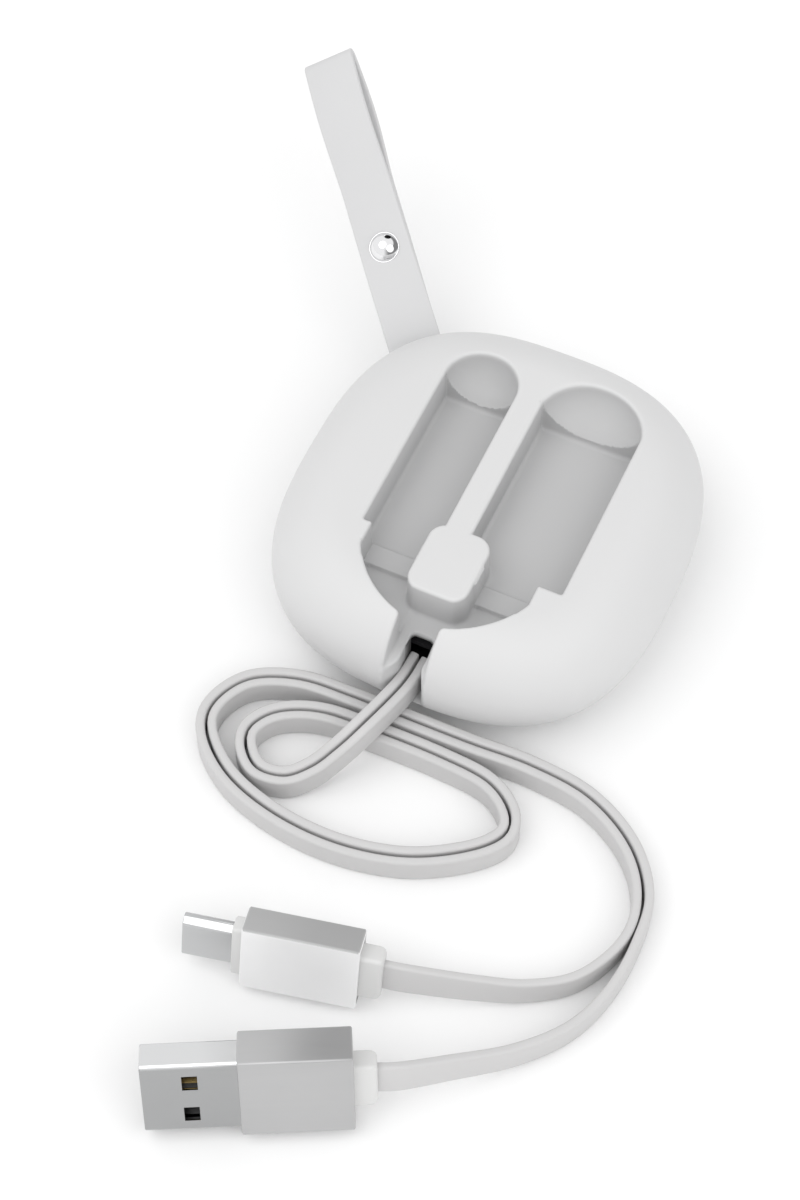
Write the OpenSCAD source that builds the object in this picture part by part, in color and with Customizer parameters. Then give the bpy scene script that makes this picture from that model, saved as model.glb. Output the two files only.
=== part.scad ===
// Retractable flat charging cable in a pebble-shaped case, with a strap loop at one corner.
// Millimetres. The case lies on its flat back at z = 0, centred on the origin. +Y runs along the
// plug bays towards their finger scoops, and the two leads leave through the rim at -Y.

/* [Case] */
// Width of the case, across the bays
case_w = 57; // [56.4:0.2:62]
// Length of the case, along the bays
case_l = 60; // [56:0.2:62]
// Thickness of the case
case_t = 20; // [19.6:0.2:24]
// Squareness of the outline: 2 is an ellipse, more is squarer
case_square = 2.75; // [2.65:0.05:3.2]
// Reach of the rounded rim, in from the outline
rim_roll = 9.3; // [8.4:0.1:9.6]
// Wall of both shells
wall = 1.8; // [1.4:0.1:2]

/* [Plug bays] */
// Width of the bay for the large plug
usb_bay_w = 15.1; // [14.2:0.1:15.6]
// Centre of the large plug's bay, right of the middle
usb_bay_x = 8.55; // [8.4:0.05:9]
// Width of the bay for the small plug
micro_bay_w = 10.8; // [10.8:0.1:11.4]
// Centre of the small plug's bay, left of the middle
micro_bay_x = 8.4; // [8.2:0.05:8.8]
// Depth of both bays, as a share of the case's thickness
bay_share = 0.32; // [0.3:0.01:0.33]
// Wall and floor of the bays
bay_wall = 1.4; // [1:0.1:1.5]
// Lower end of both bays
bay_end = 12.6; // [11:0.1:13]
// Line where the floor of the large bay meets its finger scoop
usb_scoop_line = 16.2; // [15.5:0.1:16.6]
// Reach of the large bay's scoop past that line
usb_scoop_reach = 5.9; // [5:0.1:6.2]
// Line where the floor of the small bay meets its finger scoop
micro_scoop_line = 15.4; // [15:0.1:16]
// Depth of both finger scoops
scoop_depth = 5.5; // [4.5:0.1:5.8]

/* [Channels] */
// Width of the pocket below each bay that takes the plug's collar
pocket_w = 8; // [7.6:0.1:8.4]
// Length of these pockets
pocket_l = 3.3; // [3:0.1:3.8]
// Width of the head of the bar that stands between the channels
head_w = 9; // [8.4:0.1:9.2]
// Length of that head
head_l = 7.5; // [6.5:0.1:7.8]
// Radius of the curve that leads both channels together
channel_r = 13.5; // [13.2:0.1:14]
// Width of the exit slot where the leads come out of the reel
slot_w = 3.4; // [3.2:0.1:3.8]
// Width of the exit slot at the outside, where it flares
slot_mouth = 6; // [5:0.1:6.6]

/* [Strap] */
// Width of the strap band
strap_w = 8; // [7:0.2:9]
// Thickness of one layer of the band
strap_t = 0.85; // [0.7:0.05:1]
// Length of strap that shows outside the case
strap_out = 48.4; // [36:0.2:60]
// Direction in which the strap leaves the case, from +X towards +Y
strap_turn = 133; // [128:1:136]
// Angle at which the strap stands up from its bar
strap_rise = 24; // [0:1:36]
// Diameter of the bar that the strap goes round
bar_d = 2.4; // [2:0.1:2.6]
// Height of that bar above the back
bar_z = 8; // [7.8:0.1:8.4]
// Distance of the rivet from the case
rivet_out = 17.5; // [12:0.5:20]
// Diameter of the rivet's domed head
rivet_d = 4.5; // [4:0.1:5.4]

/* [Reel] */
// Diameter of the reel's axle
axle_d = 4; // [3.6:0.1:4.6]
// Diameter of the reel's hub
hub_d = 18; // [16:0.2:20]
// Wall of the hub
hub_wall = 1.2; // [1:0.1:1.6]
// Thickness of the flange that holds the cam track
track_flange_t = 1.6; // [1.5:0.1:1.8]
// Thickness of the upper flange
top_flange_t = 1; // [0.8:0.1:1.1]
// Diameter of the cable that is wound on the reel
winding_d = 33; // [28:0.5:40]
// Middle radius of the cam track, as a share of the reel's radius
track_share = 0.68; // [0.66:0.01:0.7]
// Width of the cam track
track_w = 2; // [1.8:0.1:2.2]
// Depth of the cam track
track_depth = 0.9; // [0.7:0.1:1]
// Reach of each locking pocket outside the track
pocket_reach = 2.2; // [1.8:0.1:2.6]
// Thickness of the lock lever
lever_t = 0.8; // [0.6:0.1:0.8]
// Distance from the lever's pivot to its follower pin
lever_l = 7.5; // [7:0.1:9]
// Thickness of the power spring's strip
spring_t = 0.3; // [0.2:0.05:0.4]

/* [Leads] */
// Width of one flat lead
lead_w = 4.5; // [4:0.1:4.6]
// Thickness of one flat lead
lead_t = 1.3; // [1.1:0.1:1.4]
// Distance between the middles of the two leads where they run side by side
lead_pitch = 1.7; // [1.6:0.1:1.9]

/* [Large plug] */
// Width of the steel shell
usb_shell_w = 12; // [11.9:0.05:12.1]
// Thickness of the steel shell
usb_shell_t = 4.5; // [4.4:0.05:4.6]
// Length of shell in front of the sleeve
usb_shell_out = 12.3; // [11.5:0.1:12.5]
// Wall of the steel shell
usb_shell_wall = 0.3; // [0.25:0.05:0.4]
// Length of the metal sleeve
usb_sleeve_l = 14.6; // [13.6:0.1:16]
// Width of the metal sleeve
usb_sleeve_w = 13.3; // [13.2:0.1:13.8]
// Thickness of the metal sleeve
usb_sleeve_t = 5.9; // [5.8:0.1:6.2]

/* [Small plug] */
// Width of the small steel shell
micro_shell_w = 6.85; // [6.8:0.05:7]
// Thickness of the small steel shell
micro_shell_t = 1.8; // [1.75:0.05:1.9]
// Length of small shell in front of its neck
micro_shell_out = 6.8; // [6:0.1:7]
// Length of the plastic neck behind the shell
neck_l = 1.4; // [1:0.1:1.8]
// Length of the small metal sleeve
micro_sleeve_l = 15.8; // [14:0.1:16]
// Width of the small metal sleeve
micro_sleeve_w = 10.6; // [10.4:0.1:10.8]
// Thickness of the small metal sleeve
micro_sleeve_t = 4.7; // [4.6:0.1:5]
// Length of the collar behind each sleeve
collar_l = 3; // [2.6:0.1:3.2]
// Width of that collar
collar_w = 7.2; // [6.8:0.1:7.4]
// Thickness of that collar
collar_t = 3.4; // [3:0.1:3.8]
// Wall of both metal sleeves
sleeve_wall = 0.5; // [0.4:0.05:0.6]

/* [Hidden] */
$fn = 64;

// Small distances that repeat
gap = 0.1;    // between parts that fit together and don't move
run = 0.05;   // radial clearance of a bore that turns on a pin
eps = 0.1;    // overrun of a cut past the face it opens

// Heights inside the case, from the back up
floor_z = wall;
lever_z = floor_z + gap;
flange_z = lever_z + lever_t + 0.2;
reel_floor_z = flange_z + track_flange_t;
seam_z = reel_floor_z + gap;
lead_low_z = reel_floor_z + 0.25;
lead_mid_z = lead_low_z + lead_w / 2;
top_flange_z = lead_low_z + lead_w + 0.25;
reel_top_z = top_flange_z + top_flange_t;
bay_depth = case_t * bay_share;
bay_floor_z = case_t - bay_depth;
ceiling_z = bay_floor_z - bay_wall;
roof_z = reel_top_z + 0.4;
ramp_end_z = min(roof_z + bay_wall, bay_floor_z - 0.2);

usb_scoop_r = (usb_bay_w * usb_bay_w / 4 + usb_scoop_reach * usb_scoop_reach) / (2 * usb_scoop_reach);

// The rounded rim is a quarter ellipse above and below the middle of the thickness
half_t = case_t / 2;
function rim_angle(z, inset) = asin(max(-1, min(1, (z - half_t) / (half_t - inset))));
function rim_half(size, z, inset) =
  size / 2 - rim_roll + (rim_roll - inset) * cos(rim_angle(z, inset));
function corner_reach(turn, z) = pow(
  pow(abs(cos(turn)) / rim_half(case_w, z, 0), case_square)
    + pow(abs(sin(turn)) / rim_half(case_l, z, 0), case_square), -1 / case_square);

reel_gap = 0.5;
reel_r = min(rim_half(case_w, flange_z, wall), rim_half(case_l, flange_z, wall)) - reel_gap;
boss_r = 2.2;
screw_at = (reel_r + reel_gap + boss_r) / sqrt(2);
track_r = track_share * reel_r;
screw_corners = [[1, 1], [1, -1], [-1, -1]];
screw_r = 1;
screw_head_r = 1.7;
screw_head_z = 2.15;
screw_head_l = 1.2;
screw_l = 7;

// The strap bar lies across the upper left corner, just inside the rim
rim_at_bar = corner_reach(strap_turn, bar_z);
bar_inset = 4;
bar_u = rim_at_bar - bar_inset;
bar_l = 12;
eye_r = bar_d / 2 + 0.08;
strap_pocket_w = strap_w + 0.8;
lay_half = strap_t + 0.06;
strap_pocket_top = bar_z + max(
  eye_r + strap_t + 0.6, bar_inset * tan(strap_rise) + lay_half / cos(strap_rise) + 0.4);
strap_l = bar_inset + strap_out;
rivet_s = bar_inset + rivet_out;

// The lever's pivot lies on the pin's circle, a chord of lever_l before the pin
pin_angle = -60;
pin_r = track_w / 2 - 0.15;
pivot_angle = pin_angle - 2 * asin(lever_l / (2 * track_r));
pivot = [track_r * cos(pivot_angle), track_r * sin(pivot_angle)];
post_r = 1;

// Where the plugs lie: the middle of each sleeve, and the way its lead leaves
usb_at = [11.4, -86.4];
usb_yaw = 27.5;
micro_at = [4.3, -70.2];
micro_yaw = 12.5;
// Both plugs stand on a narrow side and lean back a little, away from the case's front
plug_lean = 20;
function plug_z(t, w) = w / 2 * cos(plug_lean) + t / 2 * sin(plug_lean);

// Routes of the flat leads, which stand on edge: [x, y, z of the middle]. Side by side at first,
// out of the slot, over both loops, round the small loop, round the large loop and down the tail.
pair_route = [
  [0, -23.6, 7], [-0.5, -28.9, 7.02], [-2.8, -37, 7.1], [-4.9, -40.8, 5.2], [-7.2, -43.7, 3.2],
  [-10.2, -46.2, 2.35], [-14.2, -46.6, 2.3], [-17.2, -44, 2.3], [-17.8, -40.9, 2.3],
  [-15.2, -37.3, 2.3], [-9.5, -34.9, 2.3], [-1, -34.5, 2.3], [8, -34.5, 2.3], [15.5, -35.3, 2.3],
  [20, -38.3, 2.3], [20.8, -42, 2.3], [17.2, -46.2, 2.3], [10, -50.4, 2.3], [1, -52.4, 2.3],
  [-8.5, -52, 2.3], [-17, -49.4, 2.3], [-22.8, -44.7, 2.3], [-24.2, -40, 2.3], [-21.4, -34.5, 2.3],
  [-15, -31.5, 2.3], [-7, -30.9, 2.3], [2, -30.9, 2.3], [11, -30.8, 2.3], [20, -30.5, 2.3],
  [29, -31.7, 2.3], [36.6, -35.9, 2.3], [41.2, -42, 2.3], [42.2, -49, 2.3],
];
usb_tail = [[42.4, -56.6, 2.3], [39.8, -63.6, 2.4], [34.6, -70, 3.1], [28, -76, 5.4]];
micro_tail = [[38.2, -56.4, 2.35], [32.6, -60.8, 2.6], [26.2, -63.8, 3.7]];

// Superellipse ring and a closed loft through a list of rings [half width, half length, z]
function squircle(v) = sign(v) * pow(abs(v), 2 / case_square);
function ring_points(r, n) =
  [for (i = [0:n - 1]) [r[0] * squircle(cos(360 * i / n)), r[1] * squircle(sin(360 * i / n)), r[2]]];

module loft(sections) {
  n = len(sections[0]);
  last = len(sections) - 1;
  points = [for (s = sections) for (p = s) p];
  sides = [
    for (k = [0:last - 1]) for (i = [0:n - 1])
      let (a = k * n + i, b = k * n + (i + 1) % n) each [[a, a + n, b + n], [a, b + n, b]]
  ];
  polyhedron(points, concat(
    [[for (i = [0:n - 1]) i]], sides, [[for (i = [n - 1:-1:0]) last * n + i]]), convexity = 6);
}

module pebble(low_z, high_z, inset, steps, n) {
  from = rim_angle(low_z, inset);
  to = rim_angle(high_z, inset);
  loft([
    for (k = [0:steps])
      let (a = from + (to - from) * k / steps,
           reach = (rim_roll - inset) * cos(a) - rim_roll)
        ring_points([case_w / 2 + reach, case_l / 2 + reach,
                     half_t + (half_t - inset) * sin(a)], n)
  ]);
}

// Quarter ellipse bowl, sunk from the face and cut off at its scoop line
module scoop(x, line, r, centre_y, grow) {
  intersection() {
    translate([x, centre_y, case_t])
      rotate_extrude()
        polygon(concat([[0, 0]], [
          for (a = [0:9:90]) [(r + grow) * cos(a), -(scoop_depth + grow) * sin(a)]
        ]));
    translate([x - case_w / 4, line - 0.01, 0]) cube([case_w / 2, case_l / 2, case_t + 5]);
  }
}

// Head of the bar between the channels, with rounded lower corners
module bar_head(shrink) {
  r = 2.5 - shrink;
  x = head_w / 2 - shrink;
  y = bay_end + head_l - shrink;
  polygon(concat(
    [[x, -bay_end + 4]], [for (a = [0:-15:-90]) [x - r + r * cos(a), -y + r + r * sin(a)]],
    [for (a = [-90:-15:-180]) [-x + r + r * cos(a), -y + r + r * sin(a)]], [[-x, -bay_end + 4]]));
}

// Plan of everything sunk into the face, grown by a wall for the tubs that hang inside
module bay_plan(grow) {
  translate([usb_bay_x - usb_bay_w / 2 - grow, -bay_end - grow])
    square([usb_bay_w + 2 * grow, bay_end + usb_scoop_line + 2 * grow]);
  translate([-micro_bay_x - micro_bay_w / 2 - grow, -bay_end - grow])
    square([micro_bay_w + 2 * grow, bay_end + micro_scoop_line + 2 * grow]);
  difference() {
    union() {
      for (x = [-micro_bay_x, usb_bay_x])
        translate([x - pocket_w / 2 - grow, -bay_end - pocket_l - grow])
          square([pocket_w + 2 * grow, pocket_l + 2 * grow]);
      intersection() {
        translate([0, -bay_end - pocket_l + 5.2]) circle(channel_r + grow);
        translate([-case_w / 2, -case_l / 2]) square([case_w, case_l / 2 - bay_end - pocket_l + 0.01]);
      }
    }
    if (grow == 0) bar_head(0);
  }
}

module sunk_space(grow) {
  translate([0, 0, bay_floor_z - grow]) linear_extrude(bay_depth + 5) bay_plan(grow);
  scoop(usb_bay_x, usb_scoop_line, usb_scoop_r, usb_scoop_line + usb_scoop_reach - usb_scoop_r, grow);
  scoop(-micro_bay_x, micro_scoop_line, micro_bay_w / 2, micro_scoop_line, grow);
  exit_ramp(grow);
}

// The channels' floor falls from the foot of the bar's head to the top of the exit slot
ramp_start_y = -bay_end - head_l;
ramp_end_y = ramp_start_y - 4.7;
module exit_ramp(grow) {
  translate([-slot_mouth / 2 - grow, 0, 0])
    rotate([90, 0, 90])
      linear_extrude(slot_mouth + 2 * grow)
        polygon([
          [ramp_start_y, bay_floor_z - grow], [ramp_end_y, ramp_end_z - grow],
          [-case_l, ramp_end_z - grow], [-case_l, case_t + 5], [ramp_start_y, case_t + 5]]);
}

// The slot itself: straight under a roof where it leaves the reel, then open to the face, and
// flared through the rim
slot_flare_l = 3.4;
module exit_slot() {
  rim_y = -case_l / 2 - 0.5;
  translate([-slot_w / 2, rim_y, seam_z - eps])
    cube([slot_w, -reel_r + 0.1 - rim_y, roof_z - seam_z + eps]);
  translate([0, 0, seam_z - eps])
    linear_extrude(case_t)
      polygon([
        [-slot_w / 2, ramp_end_y], [slot_w / 2, ramp_end_y], [slot_w / 2, rim_y + slot_flare_l],
        [slot_mouth / 2, rim_y], [-slot_mouth / 2, rim_y], [-slot_w / 2, rim_y + slot_flare_l]]);
}

// Places a piece at the strap's corner: local x points out through the rim
module at_strap_corner() {
  rotate([0, 0, strap_turn]) children();
}

module strap_pocket() {
  at_strap_corner() {
    translate([bar_u - eye_r - strap_t - 0.3, -strap_pocket_w / 2, seam_z - eps])
      cube([rim_roll + 10, strap_pocket_w, strap_pocket_top - seam_z + eps]);
    translate([bar_u - bar_d / 2 - gap, -bar_l / 2 - gap, seam_z - eps])
      cube([bar_d + 2 * gap, bar_l + 2 * gap, bar_z - seam_z + eps]);
    translate([bar_u, bar_l / 2 + gap, bar_z])
      rotate([90, 0, 0]) cylinder(h = bar_l + 2 * gap, r = bar_d / 2 + gap);
  }
}

module screw_bosses(low_z, high_z) {
  for (c = screw_corners)
    translate([c[0] * screw_at, c[1] * screw_at, low_z]) cylinder(h = high_z - low_z, r = boss_r);
}

// What stands inside the front shell, before the bays are sunk into it
module front_shell_core() {
  sunk_space(bay_wall);
  screw_bosses(seam_z - 1, case_t);
  translate([0, 0, reel_top_z + 0.3]) cylinder(h = ceiling_z - reel_top_z, r = axle_d / 2 + 1.2);
  translate([-slot_w / 2 - 1.5, -case_l / 2, seam_z - 1])
    cube([slot_w + 3, case_l / 2 - reel_r - 0.4, ceiling_z - seam_z + 2]);
  at_strap_corner()
    translate([reel_r + 0.5, -bar_l / 2 - 1.6, seam_z - 1])
      cube([rim_roll + 10, bar_l + 3.2, strap_pocket_top + 1.2 - seam_z + 1]);
}

axle_tip_r = 1.3;
axle_tip_z = ceiling_z + 0.8;
module front_shell() {
  color([0.9, 0.9, 0.9])
    difference() {
      pebble(seam_z, case_t, 0, 12, 64);
      difference() {
        pebble(seam_z - eps, case_t - wall, wall, 7, 48);
        front_shell_core();
      }
      sunk_space(0);
      exit_slot();
      strap_pocket();
      translate([0, 0, reel_top_z]) cylinder(h = axle_tip_z + gap - reel_top_z, r = axle_tip_r + run);
      for (c = screw_corners)
        translate([c[0] * screw_at, c[1] * screw_at, seam_z - eps])
          cylinder(h = screw_head_z + screw_head_l + screw_l + 0.5 - seam_z, r = screw_r + 0.02);
    }
}

module rear_cover() {
  color([0.88, 0.88, 0.88])
    difference() {
      union() {
        difference() {
          pebble(0, seam_z, 0, 6, 64);
          pebble(floor_z, seam_z + eps, wall, 4, 48);
        }
        translate([0, 0, floor_z - eps]) cylinder(h = flange_z - 0.15 - floor_z + eps, r = axle_d / 2 + 1.6);
        translate([pivot[0], pivot[1], floor_z - eps])
          cylinder(h = lever_t + gap + 0.1 + eps, r = post_r);
        intersection() {
          pebble(0, seam_z, 0, 2, 32);
          screw_bosses(floor_z, seam_z);
        }
        at_strap_corner()
          for (side = [-1, 1])
            translate([bar_u - 1.1, side * (bar_l / 2 - 0.7) - 0.7, seam_z - 0.4])
              cube([2.2, 1.4, bar_z - bar_d / 2 - gap / 2 - seam_z + 0.4]);
      }
      translate([0, 0, axle_foot_z]) cylinder(h = case_t, r = axle_foot_r + 0.02);
      for (c = screw_corners)
        translate([c[0] * screw_at, c[1] * screw_at, 0]) {
          translate([0, 0, -eps]) cylinder(h = screw_head_z + screw_head_l + eps, r = screw_head_r + gap);
          cylinder(h = case_t, r = screw_r + gap);
        }
    }
}

module case_screws() {
  color([0.6, 0.6, 0.62])
    for (c = screw_corners)
      translate([c[0] * screw_at, c[1] * screw_at, screw_head_z])
        difference() {
          union() {
            cylinder(h = screw_head_l, r = screw_head_r);
            cylinder(h = screw_head_l + screw_l, r = screw_r);
          }
          for (turn = [0, 90])
            rotate([0, 0, turn]) translate([-1.1, -0.25, -eps]) cube([2.2, 0.5, 0.7 + eps]);
        }
}

axle_foot_r = 1.4;
axle_foot_z = 0.7;
module reel_axle() {
  color([0.7, 0.7, 0.72])
    difference() {
      union() {
        translate([0, 0, axle_foot_z]) cylinder(h = flange_z - axle_foot_z, r = axle_foot_r);
        translate([0, 0, flange_z - 0.15]) cylinder(h = reel_top_z + 0.25 - flange_z + 0.15, r = axle_d / 2);
        translate([0, 0, reel_top_z]) cylinder(h = axle_tip_z - reel_top_z, r = axle_tip_r);
      }
      translate([-0.25, 0, lead_low_z]) cube([0.5, axle_d, lead_w + 0.2]);
    }
}

// Reel: hub and cam flange in one moulding, with a circular track and three locking pockets.
// Each pocket lies along the way the lever's pin swings out.
lever_swing = 2 * asin(pocket_reach / (2 * lever_l));
lock_slot_w = track_w + 0.3;
arm_angle = atan2(track_r * sin(pin_angle) - pivot[1], track_r * cos(pin_angle) - pivot[0]);

module reel_spool() {
  color([0.25, 0.25, 0.27])
    difference() {
      union() {
        translate([0, 0, flange_z]) cylinder(h = track_flange_t, r = reel_r);
        translate([0, 0, reel_floor_z - 0.5])
          cylinder(h = top_flange_z - reel_floor_z + 0.5, r = hub_d / 2);
      }
      translate([0, 0, reel_floor_z]) cylinder(h = case_t, r = hub_d / 2 - hub_wall);
      cylinder(h = case_t, r = axle_d / 2 + run);
      translate([0, 0, flange_z])
        rotate_extrude()
          translate([track_r - track_w / 2, -eps]) square([track_w, track_depth + eps]);
      for (turn = [0, 120, 240])
        rotate([0, 0, turn])
          translate([track_r * cos(pin_angle), track_r * sin(pin_angle), flange_z - eps])
            rotate([0, 0, arm_angle - 90 - lever_swing / 2])
              translate([0, -lock_slot_w / 2, 0])
                cube([pocket_reach + pin_r + 0.25, lock_slot_w, track_depth + 0.1 + eps]);
    }
}

module reel_flange() {
  color([0.3, 0.3, 0.32])
    difference() {
      union() {
        translate([0, 0, top_flange_z]) cylinder(h = top_flange_t, r = reel_r);
        translate([0, 0, top_flange_z - 0.8]) cylinder(h = 1, r = hub_d / 2 - hub_wall - 0.05);
      }
      translate([0, 0, top_flange_z - 0.8 - eps]) cylinder(h = 0.8 + eps, r = hub_d / 2 - hub_wall - 1);
      cylinder(h = case_t, r = axle_d / 2 + run);
    }
}

// Flat spiral strip between the axle's slot and the hub's wall
spring_turns = 6;
module power_spring() {
  inner = axle_d / 2 + 0.3;
  outer = hub_d / 2 - hub_wall - spring_t - 0.1;
  function spiral_r(a) = inner + (outer - inner) * a / (360 * spring_turns);
  steps = [for (a = [0:15:360 * spring_turns]) a];
  color([0.55, 0.56, 0.6])
    translate([0, 0, lead_low_z + 0.1])
      linear_extrude(lead_w - 0.9) {
        polygon(concat(
          [for (a = steps) spiral_r(a) * [sin(a), cos(a)]],
          [for (i = [len(steps) - 1:-1:0]) (spiral_r(steps[i]) + spring_t) * [sin(steps[i]), cos(steps[i])]]));
        translate([-0.15, 0.6]) square([0.3, inner - 0.6 + 0.15]);
      }
}

// The wound cable, one closed roll with a ridge for each turn of the folded pair
module cable_winding() {
  inner = hub_d / 2 + 0.05;
  turns = floor((winding_d / 2 - inner) / lead_t);
  pitch = (winding_d / 2 - inner) / turns;
  color([0.87, 0.87, 0.87])
    translate([0, 0, lead_low_z])
      rotate_extrude() {
        translate([inner, 0.25]) square([winding_d / 2 - inner, lead_w - 0.5]);
        for (k = [0:turns - 1])
          translate([inner + k * pitch + 0.1, 0]) square([pitch - 0.2, lead_w]);
      }
}

module lock_lever() {
  color([0.75, 0.75, 0.3])
    translate([pivot[0], pivot[1], lever_z])
      rotate([0, 0, arm_angle])
        difference() {
          union() {
            cylinder(h = lever_t, r = post_r + 1);
            translate([0, -0.9, 0]) cube([lever_l, 1.8, lever_t]);
            translate([lever_l, 0, 0]) cylinder(h = lever_t, r = 0.9);
            translate([lever_l, 0, 0]) cylinder(h = flange_z + track_depth - 0.2 - lever_z, r = pin_r);
          }
          translate([0, 0, -eps]) cylinder(h = case_t, r = post_r + run);
        }
}

module strap_bar() {
  color([0.7, 0.7, 0.72])
    at_strap_corner()
      translate([bar_u, bar_l / 2, bar_z]) rotate([90, 0, 0]) cylinder(h = bar_l, r = bar_d / 2);
}

// Side view of the folded band: an eye round the bar, two layers laid together, and a teardrop
// gap at the far end. The outline and the inner slit are one band thickness apart.
gape_start = 0.58;
gape = 0.9;
function band_half(s) =
  s < gape_start * strap_l ? lay_half
    : lay_half + gape * pow(sin(180 * pow((s / strap_l - gape_start) / (1 - gape_start), 1.15)), 1.3);
module strap_side(inset) {
  eye = eye_r + strap_t - inset;
  neck_s = 5.5;
  along = [for (k = [0:14]) neck_s + (strap_l - 0.4 - inset - neck_s) * k / 14];
  upper = concat(
    [for (a = [180:-20:40]) eye * [cos(a), sin(a)]],
    [for (s = along) [s, band_half(s) - inset]],
    [[strap_l - inset, inset > 0 ? 0.08 : 0.4]]);
  polygon(concat(upper, [for (i = [len(upper) - 1:-1:1]) [upper[i][0], -upper[i][1]]]));
}

module at_strap() {
  at_strap_corner()
    translate([bar_u, 0, bar_z]) rotate([0, -strap_rise, 0]) children();
}

module strap_band() {
  color([0.88, 0.88, 0.88])
    at_strap()
      difference() {
        translate([0, strap_w / 2, 0])
          rotate([90, 0, 0])
            linear_extrude(strap_w)
              difference() {
                strap_side(0);
                strap_side(strap_t);
              }
        translate([rivet_s, 0, -5]) cylinder(h = 10, r = rivet_shank_r + 0.03);
      }
}

rivet_shank_r = 0.9;
module rivet_cap() {
  dome_h = 1.3;
  dome_r = (rivet_d * rivet_d / 4 + dome_h * dome_h) / (2 * dome_h);
  color([0.8, 0.8, 0.82])
    at_strap()
      translate([rivet_s, 0, lay_half + 0.02]) {
        intersection() {
          translate([0, 0, dome_h + 0.2 - dome_r]) sphere(dome_r);
          cylinder(h = 3, r = rivet_d / 2);
        }
        translate([0, 0, -2 * lay_half - 0.4]) cylinder(h = 2 * lay_half + 0.6, r = rivet_shank_r);
      }
}

module rivet_post() {
  color([0.75, 0.75, 0.78])
    at_strap()
      translate([rivet_s, 0, -lay_half - 0.02 - 0.8])
        difference() {
          union() {
            translate([0, 0, 0.3]) cylinder(h = 0.5, r = rivet_d / 2 - 0.1);
            cylinder(h = 0.3, r1 = rivet_d / 2 - 0.5, r2 = rivet_d / 2 - 0.1);
          }
          translate([0, 0, 0.35]) cylinder(h = 1, r = rivet_shank_r + 0.02);
        }
}

// Outline with rounded corners, for tubes and mouldings
function rounded(w, h, r) = [
  for (c = [[1, 1, 0], [-1, 1, 90], [-1, -1, 180], [1, -1, 270]]) for (a = [0:30:90])
    [c[0] * (w / 2 - r) + r * cos(c[2] + a), c[1] * (h / 2 - r) + r * sin(c[2] + a)]
];

// Bar along x from x0 to x1 with a rounded section: t across (y) and w upright (z)
module bar_x(x0, x1, t, w, r) {
  translate([x0, 0, 0]) rotate([90, 0, 90]) linear_extrude(x1 - x0) polygon(rounded(t, w, r));
}

// Places a plug: local x runs from the sleeve's front back to the lead, local z is its width
module at_plug(at, yaw, l, t, w) {
  translate([at[0], at[1], plug_z(t, w)])
    rotate([0, 0, yaw]) rotate([-plug_lean, 0, 0]) translate([-l / 2, 0, 0]) children();
}
module at_usb() {
  at_plug(usb_at, usb_yaw, usb_sleeve_l, usb_sleeve_t, usb_sleeve_w) children();
}
module at_micro() {
  at_plug(micro_at, micro_yaw, micro_sleeve_l, micro_sleeve_t, micro_sleeve_w) children();
}

usb_shell_in = 6.2;
usb_bore_t = usb_shell_t - 2 * usb_shell_wall;
usb_bore_w = usb_shell_w - 2 * usb_shell_wall;
module usb_a_shell() {
  hole_w = 2.5;
  hole_l = 2;
  hole_x = -usb_shell_out + 5.2;
  color([0.75, 0.76, 0.78])
    at_usb()
      difference() {
        bar_x(-usb_shell_out, usb_shell_in, usb_shell_t, usb_shell_w, 0.7);
        bar_x(-usb_shell_out - eps, usb_shell_in + eps, usb_bore_t, usb_bore_w, 0.4);
        for (side = [-1, 1])
          translate([hole_x, -usb_shell_t, side * 2.85 - hole_w / 2])
            cube([hole_l, 2 * usb_shell_t, hole_w]);
      }
}

tongue_gap = 0.3;
contact_z = [-3.5, -1, 1, 3.5];
contact_t = 0.15;
module usb_contact_strip(z, grow) {
  length = abs(z) > 2 ? 8.8 : 7.8;
  translate([-usb_shell_out + (abs(z) > 2 ? 1.5 : 2.5), -0.05, z - 0.5 - grow])
    cube([length + grow, contact_t + grow, 1 + 2 * grow]);
}

module usb_a_tongue() {
  color([0.92, 0.92, 0.9])
    at_usb()
      difference() {
        union() {
          translate([-usb_shell_out + 0.6, 0, -usb_bore_w / 2 + tongue_gap])
            cube([usb_shell_out + usb_shell_in - 0.6, usb_bore_t / 2 - 0.05, usb_bore_w - 2 * tongue_gap]);
          bar_x(0.2, usb_shell_in, usb_bore_t - 0.1, usb_bore_w - 0.1, 0.4);
        }
        for (z = contact_z) usb_contact_strip(z, 0.02);
      }
}

module usb_a_contacts() {
  color([0.85, 0.7, 0.35])
    at_usb()
      for (z = contact_z) usb_contact_strip(z, 0);
}

module sleeve(l, t, w, opening_t, opening_w) {
  difference() {
    bar_x(0, l, t, w, 0.35);
    bar_x(0.6, l + eps, t - 2 * sleeve_wall, w - 2 * sleeve_wall, 0.2);
    bar_x(-eps, 1, opening_t, opening_w, 0.5);
  }
}

module usb_a_sleeve() {
  color([0.72, 0.72, 0.74])
    at_usb()
      sleeve(usb_sleeve_l, usb_sleeve_t, usb_sleeve_w, usb_shell_t + gap, usb_shell_w + gap);
}

// Collar behind a sleeve, a little narrower at the lead's end
module collar(from) {
  bar_x(from, from + collar_l * 0.8, collar_t, collar_w, 0.6);
  bar_x(from, from + collar_l, collar_t - 0.5, collar_w - 0.5, 0.5);
}

module usb_a_overmould() {
  color([0.93, 0.93, 0.93])
    at_usb() {
      bar_x(usb_shell_in + gap, usb_sleeve_l - 0.15, usb_sleeve_t - 2 * sleeve_wall - gap,
            usb_sleeve_w - 2 * sleeve_wall - gap, 0.3);
      collar(usb_sleeve_l - 0.2);
    }
}

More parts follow.
